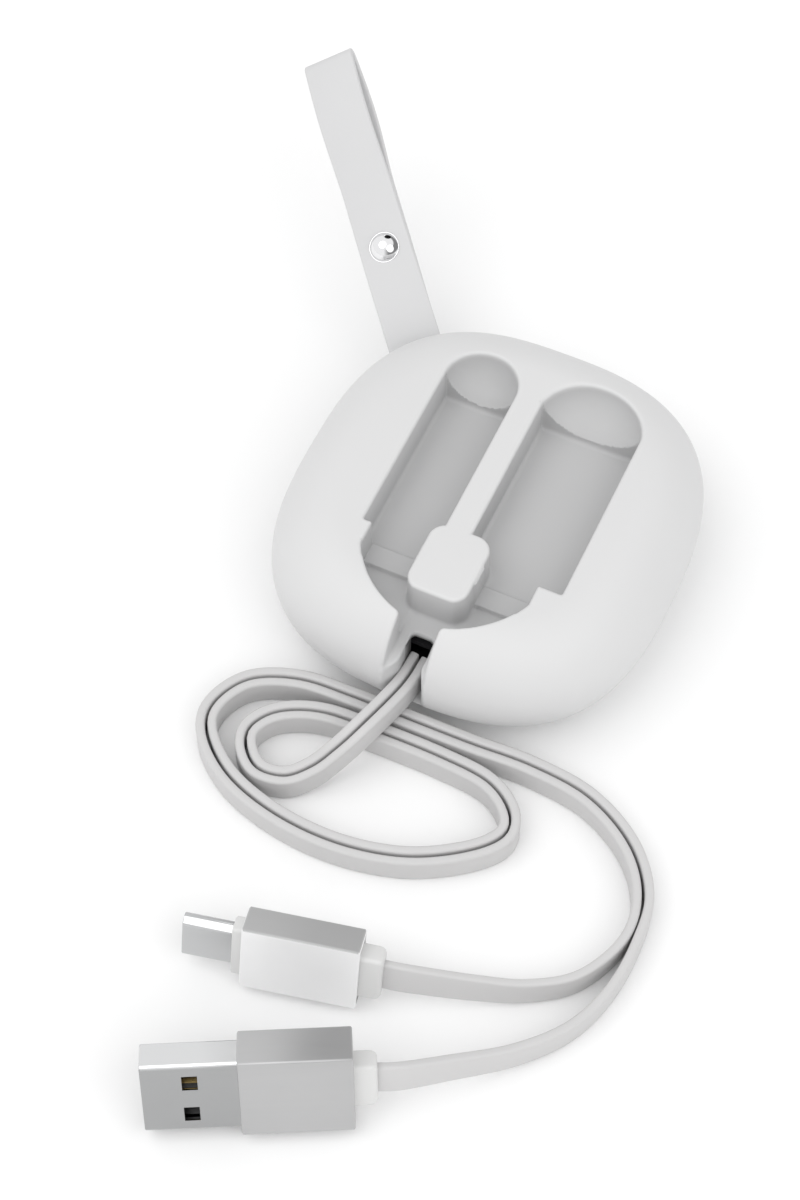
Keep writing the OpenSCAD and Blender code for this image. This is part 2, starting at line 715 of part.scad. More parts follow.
// Small plug: a flat tube with two chamfered corners, and a neck moulded round its root
function micro_outline(w, t) =
  [[-t / 2, -w / 2 + 0.7], [-t / 2, w / 2 - 0.7], [0, w / 2], [t / 2, w / 2], [t / 2, -w / 2], [0, -w / 2]];
micro_shell_in = 4;
micro_wall = 0.25;
module micro_tube(x0, x1, grow) {
  translate([x0, 0, 0]) rotate([90, 0, 90])
    linear_extrude(x1 - x0) polygon(micro_outline(micro_shell_w + 2 * grow, micro_shell_t + 2 * grow));
}

hook_z = 1.6;
module micro_hook(side, grow) {
  x = -neck_l - micro_shell_out + 1.6;
  translate([x - grow, micro_shell_t / 2 - micro_wall - 0.1, side * hook_z - 0.35 - grow])
    cube([1.4 + 2 * grow, micro_wall + 0.35 + grow, 0.7 + 2 * grow]);
}

module micro_shell() {
  color([0.75, 0.76, 0.78])
    at_micro()
      difference() {
        micro_tube(-neck_l - micro_shell_out, micro_shell_in, 0);
        micro_tube(-neck_l - micro_shell_out - eps, micro_shell_in + eps, -micro_wall);
        for (side = [-1, 1]) micro_hook(side, 0.08);
      }
}

module micro_contact_strip(z, grow) {
  translate([-neck_l - micro_shell_out + 1.2, -0.1, z - 0.2 - grow])
    cube([6.5 + grow, 0.12 + grow, 0.4 + 2 * grow]);
}

module micro_tongue() {
  bore_t = micro_shell_t - 2 * micro_wall;
  bore_w = micro_shell_w - 2 * micro_wall;
  color([0.15, 0.15, 0.16])
    at_micro()
      difference() {
        union() {
          translate([-neck_l - micro_shell_out + 0.5, -0.05, -bore_w / 2 + 0.9])
            cube([micro_shell_out + neck_l + micro_shell_in - 0.5, 0.5, bore_w - 1.8]);
          micro_tube(-neck_l + 0.2, micro_shell_in, -micro_wall - 0.04);
        }
        for (i = [-2:2]) micro_contact_strip(i * 0.65, 0.02);
      }
}

module micro_contacts() {
  color([0.85, 0.7, 0.35])
    at_micro()
      for (i = [-2:2]) micro_contact_strip(i * 0.65, 0);
}

// Two hooks on a thin spring plate inside the shell, their tips through the shell's wall
module micro_latch_hooks() {
  color([0.7, 0.7, 0.72])
    at_micro()
      for (side = [-1, 1]) micro_hook(side, 0);
}

module micro_sleeve() {
  color([0.8, 0.8, 0.82])
    at_micro()
      sleeve(micro_sleeve_l, micro_sleeve_t, micro_sleeve_w, neck_t + gap, neck_w + gap);
}

neck_t = 3;
neck_w = 8.2;
module micro_overmould() {
  color([0.93, 0.93, 0.93])
    at_micro()
      difference() {
        union() {
          bar_x(-neck_l, 1, neck_t, neck_w, 0.5);
          bar_x(0.65, micro_sleeve_l - 0.15, micro_sleeve_t - 2 * sleeve_wall - gap,
                micro_sleeve_w - 2 * sleeve_wall - gap, 0.3);
          collar(micro_sleeve_l - 0.2);
        }
        micro_tube(-neck_l - eps, micro_shell_in + 0.05, 0.03);
      }
}

// One flat lead: an eight-sided section on edge, swept along points and set off to one side
function flat_dir(a, b) = let (d = [b[0] - a[0], b[1] - a[1]]) d / norm(d);
function tangent(path, i) = flat_dir(path[max(0, i - 1)], path[min(len(path) - 1, i + 1)]);
function set_off(path, offset) = [
  for (i = [0:len(path) - 1]) let (d = tangent(path, i)) path[i] + offset * [-d[1], d[0], 0]
];
lead_section = [
  for (p = [[1, -0.7], [1, 0.7], [0.4, 1], [-0.4, 1], [-1, 0.7], [-1, -0.7], [-0.4, -1], [0.4, -1]])
    [p[0] * lead_t / 2, p[1] * lead_w / 2]
];
// The section leans with the plug over the last points of its path
lean_shares = [0.12, 0.35, 0.7, 1, 1];
function lean_at(path, i) =
  let (k = i - len(path) + len(lean_shares)) k < 0 ? 0 : plug_lean * lean_shares[k];
module sweep(path) {
  loft([
    for (i = [0:len(path) - 1])
      let (d = tangent(path, i), a = lean_at(path, i))
        [for (q = lead_section)
          let (side = q[0] * cos(a) - q[1] * sin(a))
            path[i] + [-d[1] * side, d[0] * side, q[0] * sin(a) + q[1] * cos(a)]]
  ]);
}

function plug_end(at, yaw, l, t, w, x) =
  [at[0] + (l / 2 + x) * cos(yaw), at[1] + (l / 2 + x) * sin(yaw), plug_z(t, w)];
lead_ends = [collar_l + 3, collar_l - 0.15];

module usb_a_lead() {
  color([0.87, 0.87, 0.87])
    sweep(concat(
      set_off(pair_route, lead_pitch / 2), usb_tail,
      [for (x = lead_ends) plug_end(usb_at, usb_yaw, usb_sleeve_l, usb_sleeve_t, usb_sleeve_w, x)]));
}

module micro_lead() {
  color([0.87, 0.87, 0.87])
    sweep(concat(
      set_off(pair_route, -lead_pitch / 2), micro_tail,
      [for (x = lead_ends)
        plug_end(micro_at, micro_yaw, micro_sleeve_l, micro_sleeve_t, micro_sleeve_w, x)]));
}

front_shell();
rear_cover();
case_screws();
strap_bar();
strap_band();
rivet_cap();
rivet_post();
reel_axle();
reel_spool();
reel_flange();
power_spring();
cable_winding();
lock_lever();
usb_a_shell();
usb_a_tongue();
usb_a_contacts();
usb_a_sleeve();
usb_a_overmould();
micro_shell();
micro_tongue();
micro_contacts();
micro_latch_hooks();
micro_sleeve();
micro_overmould();
usb_a_lead();
micro_lead();
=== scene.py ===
# %% [markdown]
# # A charging cable that winds into its own case
# The object is a flat white cable that winds into a case shaped like a pebble. Two bays in the
# face hold the plugs, and a folded strap hangs from one corner. The solids come from a CAD model,
# in metres. This lesson dresses them: it makes the soft forms again with rounded edges, and gives
# every piece a finish. Lengths below are written in millimetres and turned into metres where a
# mesh is made.

# %% Load the frame
import math

import bpy
import numpy as np
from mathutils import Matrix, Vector


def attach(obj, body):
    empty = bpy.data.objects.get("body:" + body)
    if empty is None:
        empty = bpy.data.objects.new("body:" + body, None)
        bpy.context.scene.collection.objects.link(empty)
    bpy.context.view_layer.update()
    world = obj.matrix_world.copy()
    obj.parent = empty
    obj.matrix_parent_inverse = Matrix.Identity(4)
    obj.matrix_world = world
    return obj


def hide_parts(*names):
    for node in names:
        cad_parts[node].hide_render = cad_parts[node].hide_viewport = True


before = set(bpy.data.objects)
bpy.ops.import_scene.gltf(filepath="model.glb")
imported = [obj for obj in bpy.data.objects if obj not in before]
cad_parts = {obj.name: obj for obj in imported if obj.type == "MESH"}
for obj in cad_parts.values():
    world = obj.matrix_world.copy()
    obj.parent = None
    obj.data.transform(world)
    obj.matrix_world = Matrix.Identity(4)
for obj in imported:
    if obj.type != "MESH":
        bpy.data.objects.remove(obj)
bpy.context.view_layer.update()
MM = 0.001

# %% [markdown]
# ## The camera
# The photograph looks down on the case from the front, a little from the right. A long lens keeps
# the sides of the case nearly parallel, as in a product picture. Two angles say which way the
# camera looks.

# %% Camera
def put(name, data, place, way):
    """Adds a camera or lamp at a place, looking along a way."""
    holder = bpy.data.objects.new(name, data)
    holder.location = place
    holder.rotation_mode = "QUATERNION"
    holder.rotation_quaternion = way.to_track_quat("-Z", "Y")
    bpy.context.scene.collection.objects.link(holder)
    return holder


camera_turn, camera_height = math.radians(24.77), math.radians(58)
camera_place = Vector((0.0769, -0.197, 0.3272))
looking = Vector((-math.sin(camera_turn) * math.cos(camera_height),
                  math.cos(camera_turn) * math.cos(camera_height), -math.sin(camera_height)))
camera = put("camera", bpy.data.cameras.new("camera"), camera_place, looking)
camera.data.lens = 80
camera.data.sensor_width = 36
camera.data.clip_start, camera.data.clip_end = 0.01, 20
bpy.context.scene.camera = camera
bpy.context.scene.view_settings.view_transform = "Standard"
print("camera at", [round(v, 3) for v in camera_place])

# %% [markdown]
# ## Effects that several finishes share
# A moulded or brushed surface is never one flat colour. Three effects repeat, so each is a node
# group with named sockets, built once: a fine grain to bump the surface, a slow change of tone,
# and the long fine lines that a brush leaves in metal. A group only puts out numbers and colours;
# the shader that uses them stays in the material.

# %% Helpers for node trees
def add(tree, kind, **values):
    """Adds a node and sets its properties (lower case) or its input values (by socket name)."""
    made = tree.nodes.new("ShaderNode" + kind)
    for name, value in values.items():
        if name in made.inputs:
            made.inputs[name].default_value = value
        elif name.replace("_", " ") in made.inputs:
            made.inputs[name.replace("_", " ")].default_value = value
        else:
            setattr(made, name, value)
    return made


def wire(tree, *links):
    """Joins nodes; each link is (from node, output, to node, input)."""
    for start, output, end, socket in links:
        tree.links.new(start.outputs[output], end.inputs[socket])


def map_range(tree, start, end, before, after):
    """A node that goes from before to after while its input goes from start to end."""
    node = add(tree, "MapRange")
    for label, value in zip(("From Min", "From Max", "To Min", "To Max"),
                            (start, end, before, after)):
        node.inputs[label].default_value = value
    return node


def effect(name, inputs, outputs):
    """A new node group; inputs are (name, kind, default) and outputs are (name, kind)."""
    group = bpy.data.node_groups.new(name, "ShaderNodeTree")
    for label, kind, default in inputs:
        socket = group.interface.new_socket(
            name=label, in_out="INPUT", socket_type="NodeSocket" + kind)
        socket.default_value = default
    for label, kind in outputs:
        group.interface.new_socket(
            name=label, in_out="OUTPUT", socket_type="NodeSocket" + kind)
    return group, group.nodes.new("NodeGroupInput"), group.nodes.new("NodeGroupOutput")


# %% Fine grain: the tiny pits of a moulded surface
fleck_scale = 0.31  # of the pits' scale, so that the patches of sheen are some three times wider
grain, grain_in, grain_out = effect(
    "fine grain", [("Scale", "Float", 4000.0), ("Softness", "Float", 0.5)],
    [("Height", "Float"), ("Mask", "Float")])
place = add(grain, "TexCoord")
pits = add(grain, "TexNoise", Detail=2.0)
flecks = add(grain, "TexNoise", Detail=1.0)
slower = add(grain, "Math", operation="MULTIPLY")
slower.inputs[1].default_value = fleck_scale
wire(grain, (place, "Object", pits, "Vector"), (place, "Object", flecks, "Vector"),
     (grain_in, "Scale", pits, "Scale"), (grain_in, "Softness", pits, "Roughness"),
     (grain_in, "Scale", slower, 0), (slower, 0, flecks, "Scale"),
     (pits, "Fac", grain_out, "Height"), (flecks, "Fac", grain_out, "Mask"))

# %% Slow tone: a colour that drifts a little, lighter and darker
tone, tone_in, tone_out = effect(
    "slow tone", [("Color", "Color", (0.8, 0.8, 0.8, 1)), ("Amount", "Float", 0.04),
                  ("Scale", "Float", 60.0)],
    [("Color", "Color")])
place = add(tone, "TexCoord")
drift = add(tone, "TexNoise", Detail=3.0)
spread = add(tone, "MapRange")
dim = add(tone, "Math", operation="SUBTRACT")
dim.inputs[0].default_value = 1.0
paint = add(tone, "Mix", data_type="RGBA", blend_type="MULTIPLY")
paint.inputs["Factor"].default_value = 1.0
wire(tone, (place, "Object", drift, "Vector"), (tone_in, "Scale", drift, "Scale"),
     (drift, "Fac", spread, "Value"), (tone_in, "Amount", dim, 1), (dim, 0, spread, "To Min"),
     (tone_in, "Color", paint, 6), (spread, "Result", paint, 7), (paint, 2, tone_out, "Color"))

# %% Brushed lines: noise stretched along the way of the brush
wide_stroke_scale = 0.12  # of the fine strokes' scale
lines, lines_in, lines_out = effect(
    "brushed lines", [("Turn", "Vector", (0, 0, 0)), ("Scale", "Float", 6000.0),
                      ("Stretch", "Float", 0.02)],
    [("Height", "Float"), ("Mask", "Float")])
place = add(lines, "TexCoord")
turned = add(lines, "Mapping")
squeezed = add(lines, "CombineXYZ", X=1.0, Y=1.0, Z=1.0)
long_way = add(lines, "VectorMath", operation="MULTIPLY")
strokes = add(lines, "TexNoise", Detail=3.0)
wide_strokes = add(lines, "TexNoise", Detail=1.0)
slower = add(lines, "Math", operation="MULTIPLY")
slower.inputs[1].default_value = wide_stroke_scale
wire(lines, (place, "Object", turned, "Vector"), (lines_in, "Turn", turned, "Rotation"),
     (lines_in, "Stretch", squeezed, "X"), (turned, "Vector", long_way, 0),
     (squeezed, "Vector", long_way, 1), (long_way, "Vector", strokes, "Vector"),
     (long_way, "Vector", wide_strokes, "Vector"), (lines_in, "Scale", strokes, "Scale"),
     (lines_in, "Scale", slower, 0), (slower, 0, wide_strokes, "Scale"),
     (strokes, "Fac", lines_out, "Height"), (wide_strokes, "Fac", lines_out, "Mask"))
print("shared effects:", [g.name for g in bpy.data.node_groups])

# %% [markdown]
# ## The finishes
# Moulded plastic is a plain colour under a dull, slightly uneven sheen, so its recipe is a slow
# tone, a grain for the bump and a roughness that drifts. Metal has no colour of its own beyond
# what it reflects, so its recipe puts the detail in the roughness and the bump instead.
# Anodised sleeves sit between the two: their skin scatters a share of the light.

# %% Recipes
def start_finish(name):
    material = bpy.data.materials.new(name)
    material.use_nodes = True
    tree = material.node_tree
    return material, tree, tree.nodes["Principled BSDF"]


def place_effect(tree, group, **values):
    node = tree.nodes.new("ShaderNodeGroup")
    node.node_tree = group
    for name, value in values.items():
        node.inputs[name].default_value = value
    return node


def uneven_surface(tree, shader, pattern, roughness, spread, depth):
    """Roughness and bump from an effect that puts out a Mask and a Height; gives back the bump."""
    dull = map_range(tree, 0, 1, roughness - spread, roughness + spread)
    bump = add(tree, "Bump", Strength=1.0, Distance=depth * MM)
    wire(tree, (pattern, "Mask", dull, "Value"), (dull, "Result", shader, "Roughness"),
         (pattern, "Height", bump, "Height"), (bump, "Normal", shader, "Normal"))
    return bump


def moulded(name, colour, roughness, grain_size=0.25, grain_depth=0.004, gloss=0.5, painted_shades=()):
    """Plastic out of a mould, with its grain in millimetres.

    The last argument lists painted shades: (mesh attribute, the darker colour painted where it is
    1).
    """
    material, tree, shader = start_finish(name)
    base = place_effect(tree, tone, Color=(*colour, 1), Amount=0.04, Scale=45.0)
    bumps = place_effect(tree, grain, Scale=1 / (grain_size * MM), Softness=0.5)
    uneven_surface(tree, shader, bumps, roughness, 0.06, grain_depth)
    shader.inputs["Specular IOR Level"].default_value = gloss
    colour_out = base.outputs["Color"]
    # Painted shade: each attribute mixes the colour towards a darker one.
    for label, shade_colour in painted_shades:
        where = add(tree, "Attribute", attribute_name=label)
        shade = add(tree, "Mix", data_type="RGBA")
        shade.inputs[7].default_value = (*shade_colour, 1)
        tree.links.new(where.outputs["Fac"], shade.inputs["Factor"])
        tree.links.new(colour_out, shade.inputs[6])
        colour_out = shade.outputs[2]
    tree.links.new(colour_out, shader.inputs["Base Color"])
    return material


line_size = 0.12
faces_up = (0.6, 0.8)  # a normal's upward part: less on a plug's wide sides, more on narrow ones


def metal(name, colour, roughness, turn=0.0, line_depth=0.0015, stretch=0.02, spread=0.08,
          waviness=0.0, metallic=1.0, painted_reflection=1.0):
    """Bare metal with fine lines along its length. turn is the way the piece points, in degrees.

    The plugs stand on a narrow side, so the sides that face up are narrow ones; the last argument
    scales their colour, a painted reflection that makes those darker or brighter. waviness is how
    deep the sheet is dented, in millimetres.
    """
    material, tree, shader = start_finish(name)
    brushed = place_effect(tree, lines, Turn=(0, 0, -math.radians(turn)),
                           Scale=1 / (line_size * MM), Stretch=stretch)
    base = place_effect(tree, tone, Color=(*colour, 1), Amount=0.06, Scale=120.0)
    bump = uneven_surface(tree, shader, brushed, roughness, spread, line_depth)
    if waviness:
        sheet = add(tree, "TexCoord")
        slow = add(tree, "TexNoise", Scale=90.0, Detail=0.0)
        dent = add(tree, "Bump", Strength=1.0, Distance=waviness * MM)
        wire(tree, (sheet, "Object", slow, "Vector"), (slow, "Fac", dent, "Height"),
             (dent, "Normal", bump, "Normal"))
    if painted_reflection == 1:
        wire(tree, (base, "Color", shader, "Base Color"))
    else:
        # Painted reflection: sides whose normal points up get their colour scaled darker or
        # brighter.
        surface = add(tree, "NewGeometry")
        parts = add(tree, "SeparateXYZ")
        facing = map_range(tree, *faces_up, 1, painted_reflection)
        shaded = add(tree, "VectorMath", operation="SCALE")
        wire(tree, (surface, "True Normal", parts, "Vector"), (parts, "Z", facing, "Value"),
             (base, "Color", shaded, "Vector"), (facing, "Result", shaded, "Scale"),
             (shaded, "Vector", shader, "Base Color"))
    shader.inputs["Metallic"].default_value = metallic
    return material


# %% The finishes themselves
usb_turn, micro_turn = 27.5, 12.5
# The case plastic has painted shade: darker grey in the bays and scoops, black in the passage's
# mouth.
case_plastic = moulded("case plastic", (0.68, 0.68, 0.682), 0.45, gloss=0.3,
                       painted_shades=[("recess_shade", (0.37, 0.37, 0.373)), ("hole", (0.004, 0.004, 0.004))])
strap_band_finish = moulded("strap band", (0.63, 0.63, 0.635), 0.55, grain_size=0.4,
                            grain_depth=0.008, gloss=0.35)
lead_jacket = moulded("lead jacket", (0.6, 0.595, 0.595), 0.5, grain_size=0.5, grain_depth=0.006,
                      gloss=0.35)
plug_moulding = moulded("plug moulding", (0.7, 0.7, 0.695), 0.4)
reel_plastic = moulded("reel plastic", (0.02, 0.02, 0.022), 0.5, gloss=0.3)
lever_plastic = moulded("lever plastic", (0.6, 0.59, 0.54), 0.4)
black_insulator = moulded("black insulator", (0.02, 0.02, 0.02), 0.35)
usb_aluminium = metal("aluminium sleeve, large", (0.52, 0.52, 0.523), 0.45,
                      turn=usb_turn, metallic=0.6)
# The small sleeve's narrow sides get a painted dark reflection; the large shell's get a painted
# bright one.
micro_aluminium = metal("aluminium sleeve, small", (0.95, 0.95, 0.953), 0.5,
                        turn=micro_turn, metallic=0.3, painted_reflection=0.48)
usb_steel = metal("stamped steel, large", (0.41, 0.413, 0.416), 0.1, turn=usb_turn, spread=0.03,
                  line_depth=0.0006, waviness=0.01, painted_reflection=1.8)
micro_steel = metal("stamped steel, small", (0.57, 0.575, 0.58), 0.14, turn=micro_turn, spread=0.04,
                    line_depth=0.0006)
turned_steel = metal("turned steel", (0.55, 0.56, 0.57), 0.25, stretch=1.0)
spring_steel = metal("spring steel", (0.42, 0.43, 0.46), 0.28, stretch=1.0)
chrome = metal("chrome", (0.86, 0.86, 0.87), 0.06, spread=0.02, stretch=1.0, line_depth=0.0003)
gold = metal("gold contacts", (0.5, 0.36, 0.14), 0.3, stretch=1.0)
print("finishes:", len(bpy.data.materials))

# %% [markdown]
# ## Making a mesh
# Most pieces here are rings joined to rings: a section is carried along a path, or a rounded
# outline grows and shrinks as it moves. One helper joins a list of rings; a second makes the mesh
# and puts it on its body.

# %% Mesh helpers
def new_piece(name, points, faces, body, slot, finish, angle=40):
    """A mesh from points in millimetres. Edges sharper than angle (degrees) stay crisp."""
    mesh = bpy.data.meshes.new(name)
    mesh.from_pydata((np.asarray(points, float) * MM).tolist(), [],
                     [list(map(int, f)) for f in faces])
    mesh.validate()
    mesh.shade_smooth()
    if angle:
        mesh.set_sharp_from_angle(angle=math.radians(angle))
    mesh.materials.append(finish)
    piece = bpy.data.objects.new(name, mesh)
    bpy.context.scene.collection.objects.link(piece)
    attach(piece, body)
    return piece


def apply_modifiers(piece):
    """Gives a piece the mesh that its modifiers make."""
    depsgraph = bpy.context.evaluated_depsgraph_get()
    mesh = bpy.data.meshes.new_from_object(piece.evaluated_get(depsgraph))
    piece.modifiers.clear()
    piece.data = mesh
    return mesh


def join_rings(rings, closed=False):
    """Points and faces of a tube through rings that all have the same number of points."""
    rings = np.asarray(rings, float)
    count, n = rings.shape[:2]
    faces = []
    for k in range(count if closed else count - 1):
        a, b = k * n, (k + 1) % count * n
        faces += [(a + i, a + (i + 1) % n, b + (i + 1) % n, b + i) for i in range(n)]
    if not closed:
        faces += [list(range(n))[::-1], [(count - 1) * n + i for i in range(n)]]
    return rings.reshape(-1, 3), faces


def rounded_outline(width, height, radius, steps):
    """Corner-rounded rectangle as 2-D points, anticlockwise."""
    points = []
    for sx, sy, start in ((1, 1, 0), (-1, 1, 90), (-1, -1, 180), (1, -1, 270)):
        for k in range(steps + 1):
            a = math.radians(start + 90 * k / steps)
            points.append((sx * (width / 2 - radius) + radius * math.cos(a),
                           sy * (height / 2 - radius) + radius * math.sin(a)))
    return np.array(points)


def smooth_line(points, step):
    """A smooth curve through the given points (Catmull-Rom), with points about step apart."""
    p = np.asarray(points, float)
    p = np.vstack([2 * p[0] - p[1], p, 2 * p[-1] - p[-2]])
    out = []
    for i in range(1, len(p) - 2):
        a, b, c, d = p[i - 1:i + 3]
        n = max(2, int(np.linalg.norm(c - b) / step))
        for t in np.arange(n) / n:
            out.append(0.5 * (2 * b + (c - a) * t + (2 * a - 5 * b + 4 * c - d) * t * t
                              + (3 * b - a - 3 * c + d) * t ** 3))
    out.append(p[-2])
    return np.array(out)


def line_length(points):
    """The length of a line through points."""
    return float(np.linalg.norm(np.diff(points, axis=0), axis=1).sum())


# %% [markdown]
# ## The two flat leads
# One long flat cable is folded in half on the reel, so two strands leave the case side by side,
# standing on edge. They run over two loops that they lay themselves, round a small one and then a
# large one, and part near the end for the two plugs. A flat cable bends easily only one way, so its
# section stays upright all along. The route repeats the points of the CAD model.

# %% Route of the leads
lead_width, lead_thickness, lead_pitch = 4.5, 1.3, 1.7
pair_route = np.array([
    [0, -23.6, 7], [-0.5, -28.9, 7.02], [-2.8, -37, 7.1], [-4.9, -40.8, 5.2], [-7.2, -43.7, 3.2],
    [-10.2, -46.2, 2.35], [-14.2, -46.6, 2.3], [-17.2, -44, 2.3], [-17.8, -40.9, 2.3],
    [-15.2, -37.3, 2.3], [-9.5, -34.9, 2.3], [-1, -34.5, 2.3], [8, -34.5, 2.3], [15.5, -35.3, 2.3],
    [20, -38.3, 2.3], [20.8, -42, 2.3], [17.2, -46.2, 2.3], [10, -50.4, 2.3], [1, -52.4, 2.3],
    [-8.5, -52, 2.3], [-17, -49.4, 2.3], [-22.8, -44.7, 2.3], [-24.2, -40, 2.3],
    [-21.4, -34.5, 2.3], [-15, -31.5, 2.3], [-7, -30.9, 2.3], [2, -30.9, 2.3], [11, -30.8, 2.3],
    [20, -30.5, 2.3], [29, -31.7, 2.3], [36.6, -35.9, 2.3], [41.2, -42, 2.3], [42.2, -49, 2.3]])
usb_tail = [[42.4, -56.6, 2.3], [39.8, -63.6, 2.4], [34.6, -70, 3.1], [28, -76, 5.4]]
micro_tail = [[38.2, -56.4, 2.35], [32.6, -60.8, 2.6], [26.2, -63.8, 3.7]]
usb_at, usb_sleeve = np.array([11.4, -86.4]), (14.6, 5.9, 13.3)  # place; length, thickness, width
micro_at, micro_sleeve = np.array([4.3, -70.2]), (15.8, 4.7, 10.6)
collar_length = 3.0
plug_lean = math.radians(20)
lean_shares = [0.12, 0.35, 0.7, 1, 1]  # of the plug's lean, at a lead's last five points
lead_step, lead_corner = 0.7, 0.42


def beside(route, offset):
    """The route again, moved sideways on the flat."""
    ends = [(max(0, i - 1), min(len(route) - 1, i + 1)) for i in range(len(route))]
    way = np.array([route[b, :2] - route[a, :2] for a, b in ends])
    way /= np.linalg.norm(way, axis=1)[:, None]
    return route + offset * np.c_[-way[:, 1], way[:, 0], np.zeros(len(way))]


def plug_middle(sleeve):
    """Height of a plug's middle, when it stands on its narrow side and leans back."""
    return (sleeve[2] * math.cos(plug_lean) + sleeve[1] * math.sin(plug_lean)) / 2


def behind_plug(at, turn, sleeve, x):
    """The point x behind a plug's sleeve, on its middle line."""
    a = math.radians(turn)
    reach = sleeve[0] / 2 + x
    return [at[0] + reach * math.cos(a), at[1] + reach * math.sin(a), plug_middle(sleeve)]


def flat_lead(name, knots):
    """A lead through its knots, and the smooth line that it follows."""
    lean = np.zeros(len(knots))
    lean[-len(lean_shares):] = plug_lean * np.array(lean_shares)
    line = smooth_line(np.c_[knots, lean], lead_step)
    way = np.gradient(line[:, :2], axis=0)
    way /= np.linalg.norm(way, axis=1)[:, None]
    rings = []
    for (x, y, z, a), w in zip(line, way):
        ring = rounded_outline(lead_thickness, lead_width, lead_corner, 4)
        ring = ring @ [[math.cos(a), math.sin(a)], [-math.sin(a), math.cos(a)]]
        rings.append([(x - w[1] * s, y + w[0] * s, z + h) for s, h in ring])
    piece = new_piece(name, *join_rings(rings), "case", "lead_white", lead_jacket, angle=60)
    return piece, line[:, :3]


far_points = (collar_length + 3, collar_length - 0.15)  # straight behind the collar, and in it
usb_lead, usb_line = flat_lead("large_plug_lead", np.vstack(
    [beside(pair_route, lead_pitch / 2), usb_tail,
     [behind_plug(usb_at, usb_turn, usb_sleeve, x) for x in far_points]]))
micro_lead, micro_line = flat_lead("small_plug_lead", np.vstack(
    [beside(pair_route, -lead_pitch / 2), micro_tail,
     [behind_plug(micro_at, micro_turn, micro_sleeve, x) for x in far_points]]))
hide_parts("usb_a_lead")
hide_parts("micro_lead")
print("leads outside the case:", round(line_length(usb_line)), "and",
      round(line_length(micro_line)), "mm")

# %% [markdown]
# ## A moulding as a field
# The case is one smooth pebble with bays, scoops, channels and a slot sunk into it, and every edge
# of a moulding is a little round. Cutting and bevelling such a shape with edges and faces is
# fussy. It is simpler to write it as a field: a function that is negative inside the plastic and
# positive outside. Two fields are joined by the smaller value and cut by the larger one, and when
# the change from one to the other is made gradual, the edge comes out rounded. A grid of samples
# then finds the surface, each point of the mesh slides onto the exact zero of the field, and the
# slope there is its normal.

# %% Combining fields
def soft_max(a, b, edge):
    """The larger of two fields, rounded over where they meet; edge is how wide."""
    h = np.clip(0.5 + 0.5 * (a - b) / edge, 0, 1)
    return b + (a - b) * h + edge * h * (1 - h)


def soft_min(a, b, edge):
    return -soft_max(-a, -b, edge)


def box2(x, y, x0, x1, y0, y1, radius):
    """Distance to a rectangle with rounded corners."""
    qx = np.abs(x - (x0 + x1) / 2) - (x1 - x0) / 2 + radius
    qy = np.abs(y - (y0 + y1) / 2) - (y1 - y0) / 2 + radius
    return (np.hypot(np.maximum(qx, 0), np.maximum(qy, 0))
            + np.minimum(np.maximum(qx, qy), 0) - radius)


def steepness(field, p):
    """Slope of the field at each point."""
    h, out = 0.02, []
    for axis in range(3):
        step = np.zeros(3)
        step[axis] = h
        out.append(field(*(p + step).T) - field(*(p - step).T))
    return np.array(out).T / (2 * h)


# %% From a field to a mesh
def surface_of(field, low, high, cell):
    """Points and four-sided faces where the field is zero: one point in each cell it crosses."""
    axes = [np.arange(a, b + cell, cell) for a, b in zip(low, high)]
    shape = tuple(len(a) for a in axes)
    values = np.broadcast_to(field(*np.meshgrid(*axes, indexing="ij", sparse=True)), shape)
    inside = values < 0
    corners = [(i, j, k) for i in (0, 1) for j in (0, 1) for k in (0, 1)]
    count = sum(inside[i:shape[0] - 1 + i, j:shape[1] - 1 + j, k:shape[2] - 1 + k].astype(np.int8)
                for i, j, k in corners)
    mixed = (count > 0) & (count < 8)
    cells = np.argwhere(mixed)
    number = np.full(mixed.shape, -1)
    number[mixed] = np.arange(len(cells))
    total, crossings = np.zeros((len(cells), 3)), np.zeros(len(cells))
    for corner in corners:
        for axis in range(3):
            if corner[axis] == 0:
                near = cells + corner
                far = near.copy()
                far[:, axis] += 1
                a, b = values[tuple(near.T)], values[tuple(far.T)]
                hit = (a < 0) != (b < 0)
                at = near[hit].astype(float)
                at[:, axis] += a[hit] / (a[hit] - b[hit])
                total[hit] += at
                crossings[hit] += 1
    points = np.array(low) + cell * total / crossings[:, None]
    faces = []
    for axis in range(3):
        u, v = (axis + 1) % 3, (axis + 2) % 3
        start = [slice(1, -1)] * 3
        start[axis] = slice(0, -1)
        end = list(start)
        end[axis] = slice(1, None)
        a, b = inside[tuple(start)], inside[tuple(end)]
        for leaving, order in ((True, (0, 1, 2, 3)), (False, (3, 2, 1, 0))):
            at = np.argwhere((a != b) & (a == leaving))
            at[:, u] += 1
            at[:, v] += 1
            ring = []
            for du, dv in ((0, 0), (-1, 0), (-1, -1), (0, -1)):
                c = at.copy()
                c[:, u] += du
                c[:, v] += dv
                ring.append(number[tuple(c.T)])
            faces.append(np.array([ring[i] for i in order]).T)
    return points, np.vstack(faces)


def settle(field, points, reach, times=3):
    """Slides points down the slope until they lie on the surface."""
    for _ in range(times):
        slope = steepness(field, points)
        size = np.maximum((slope ** 2).sum(1), 1e-3)
        step = (field(*points.T) / size)[:, None] * slope
        longest = np.linalg.norm(step, axis=1)[:, None]
        points = points - step * np.minimum(1, reach / np.maximum(longest, 1e-9))
    return points


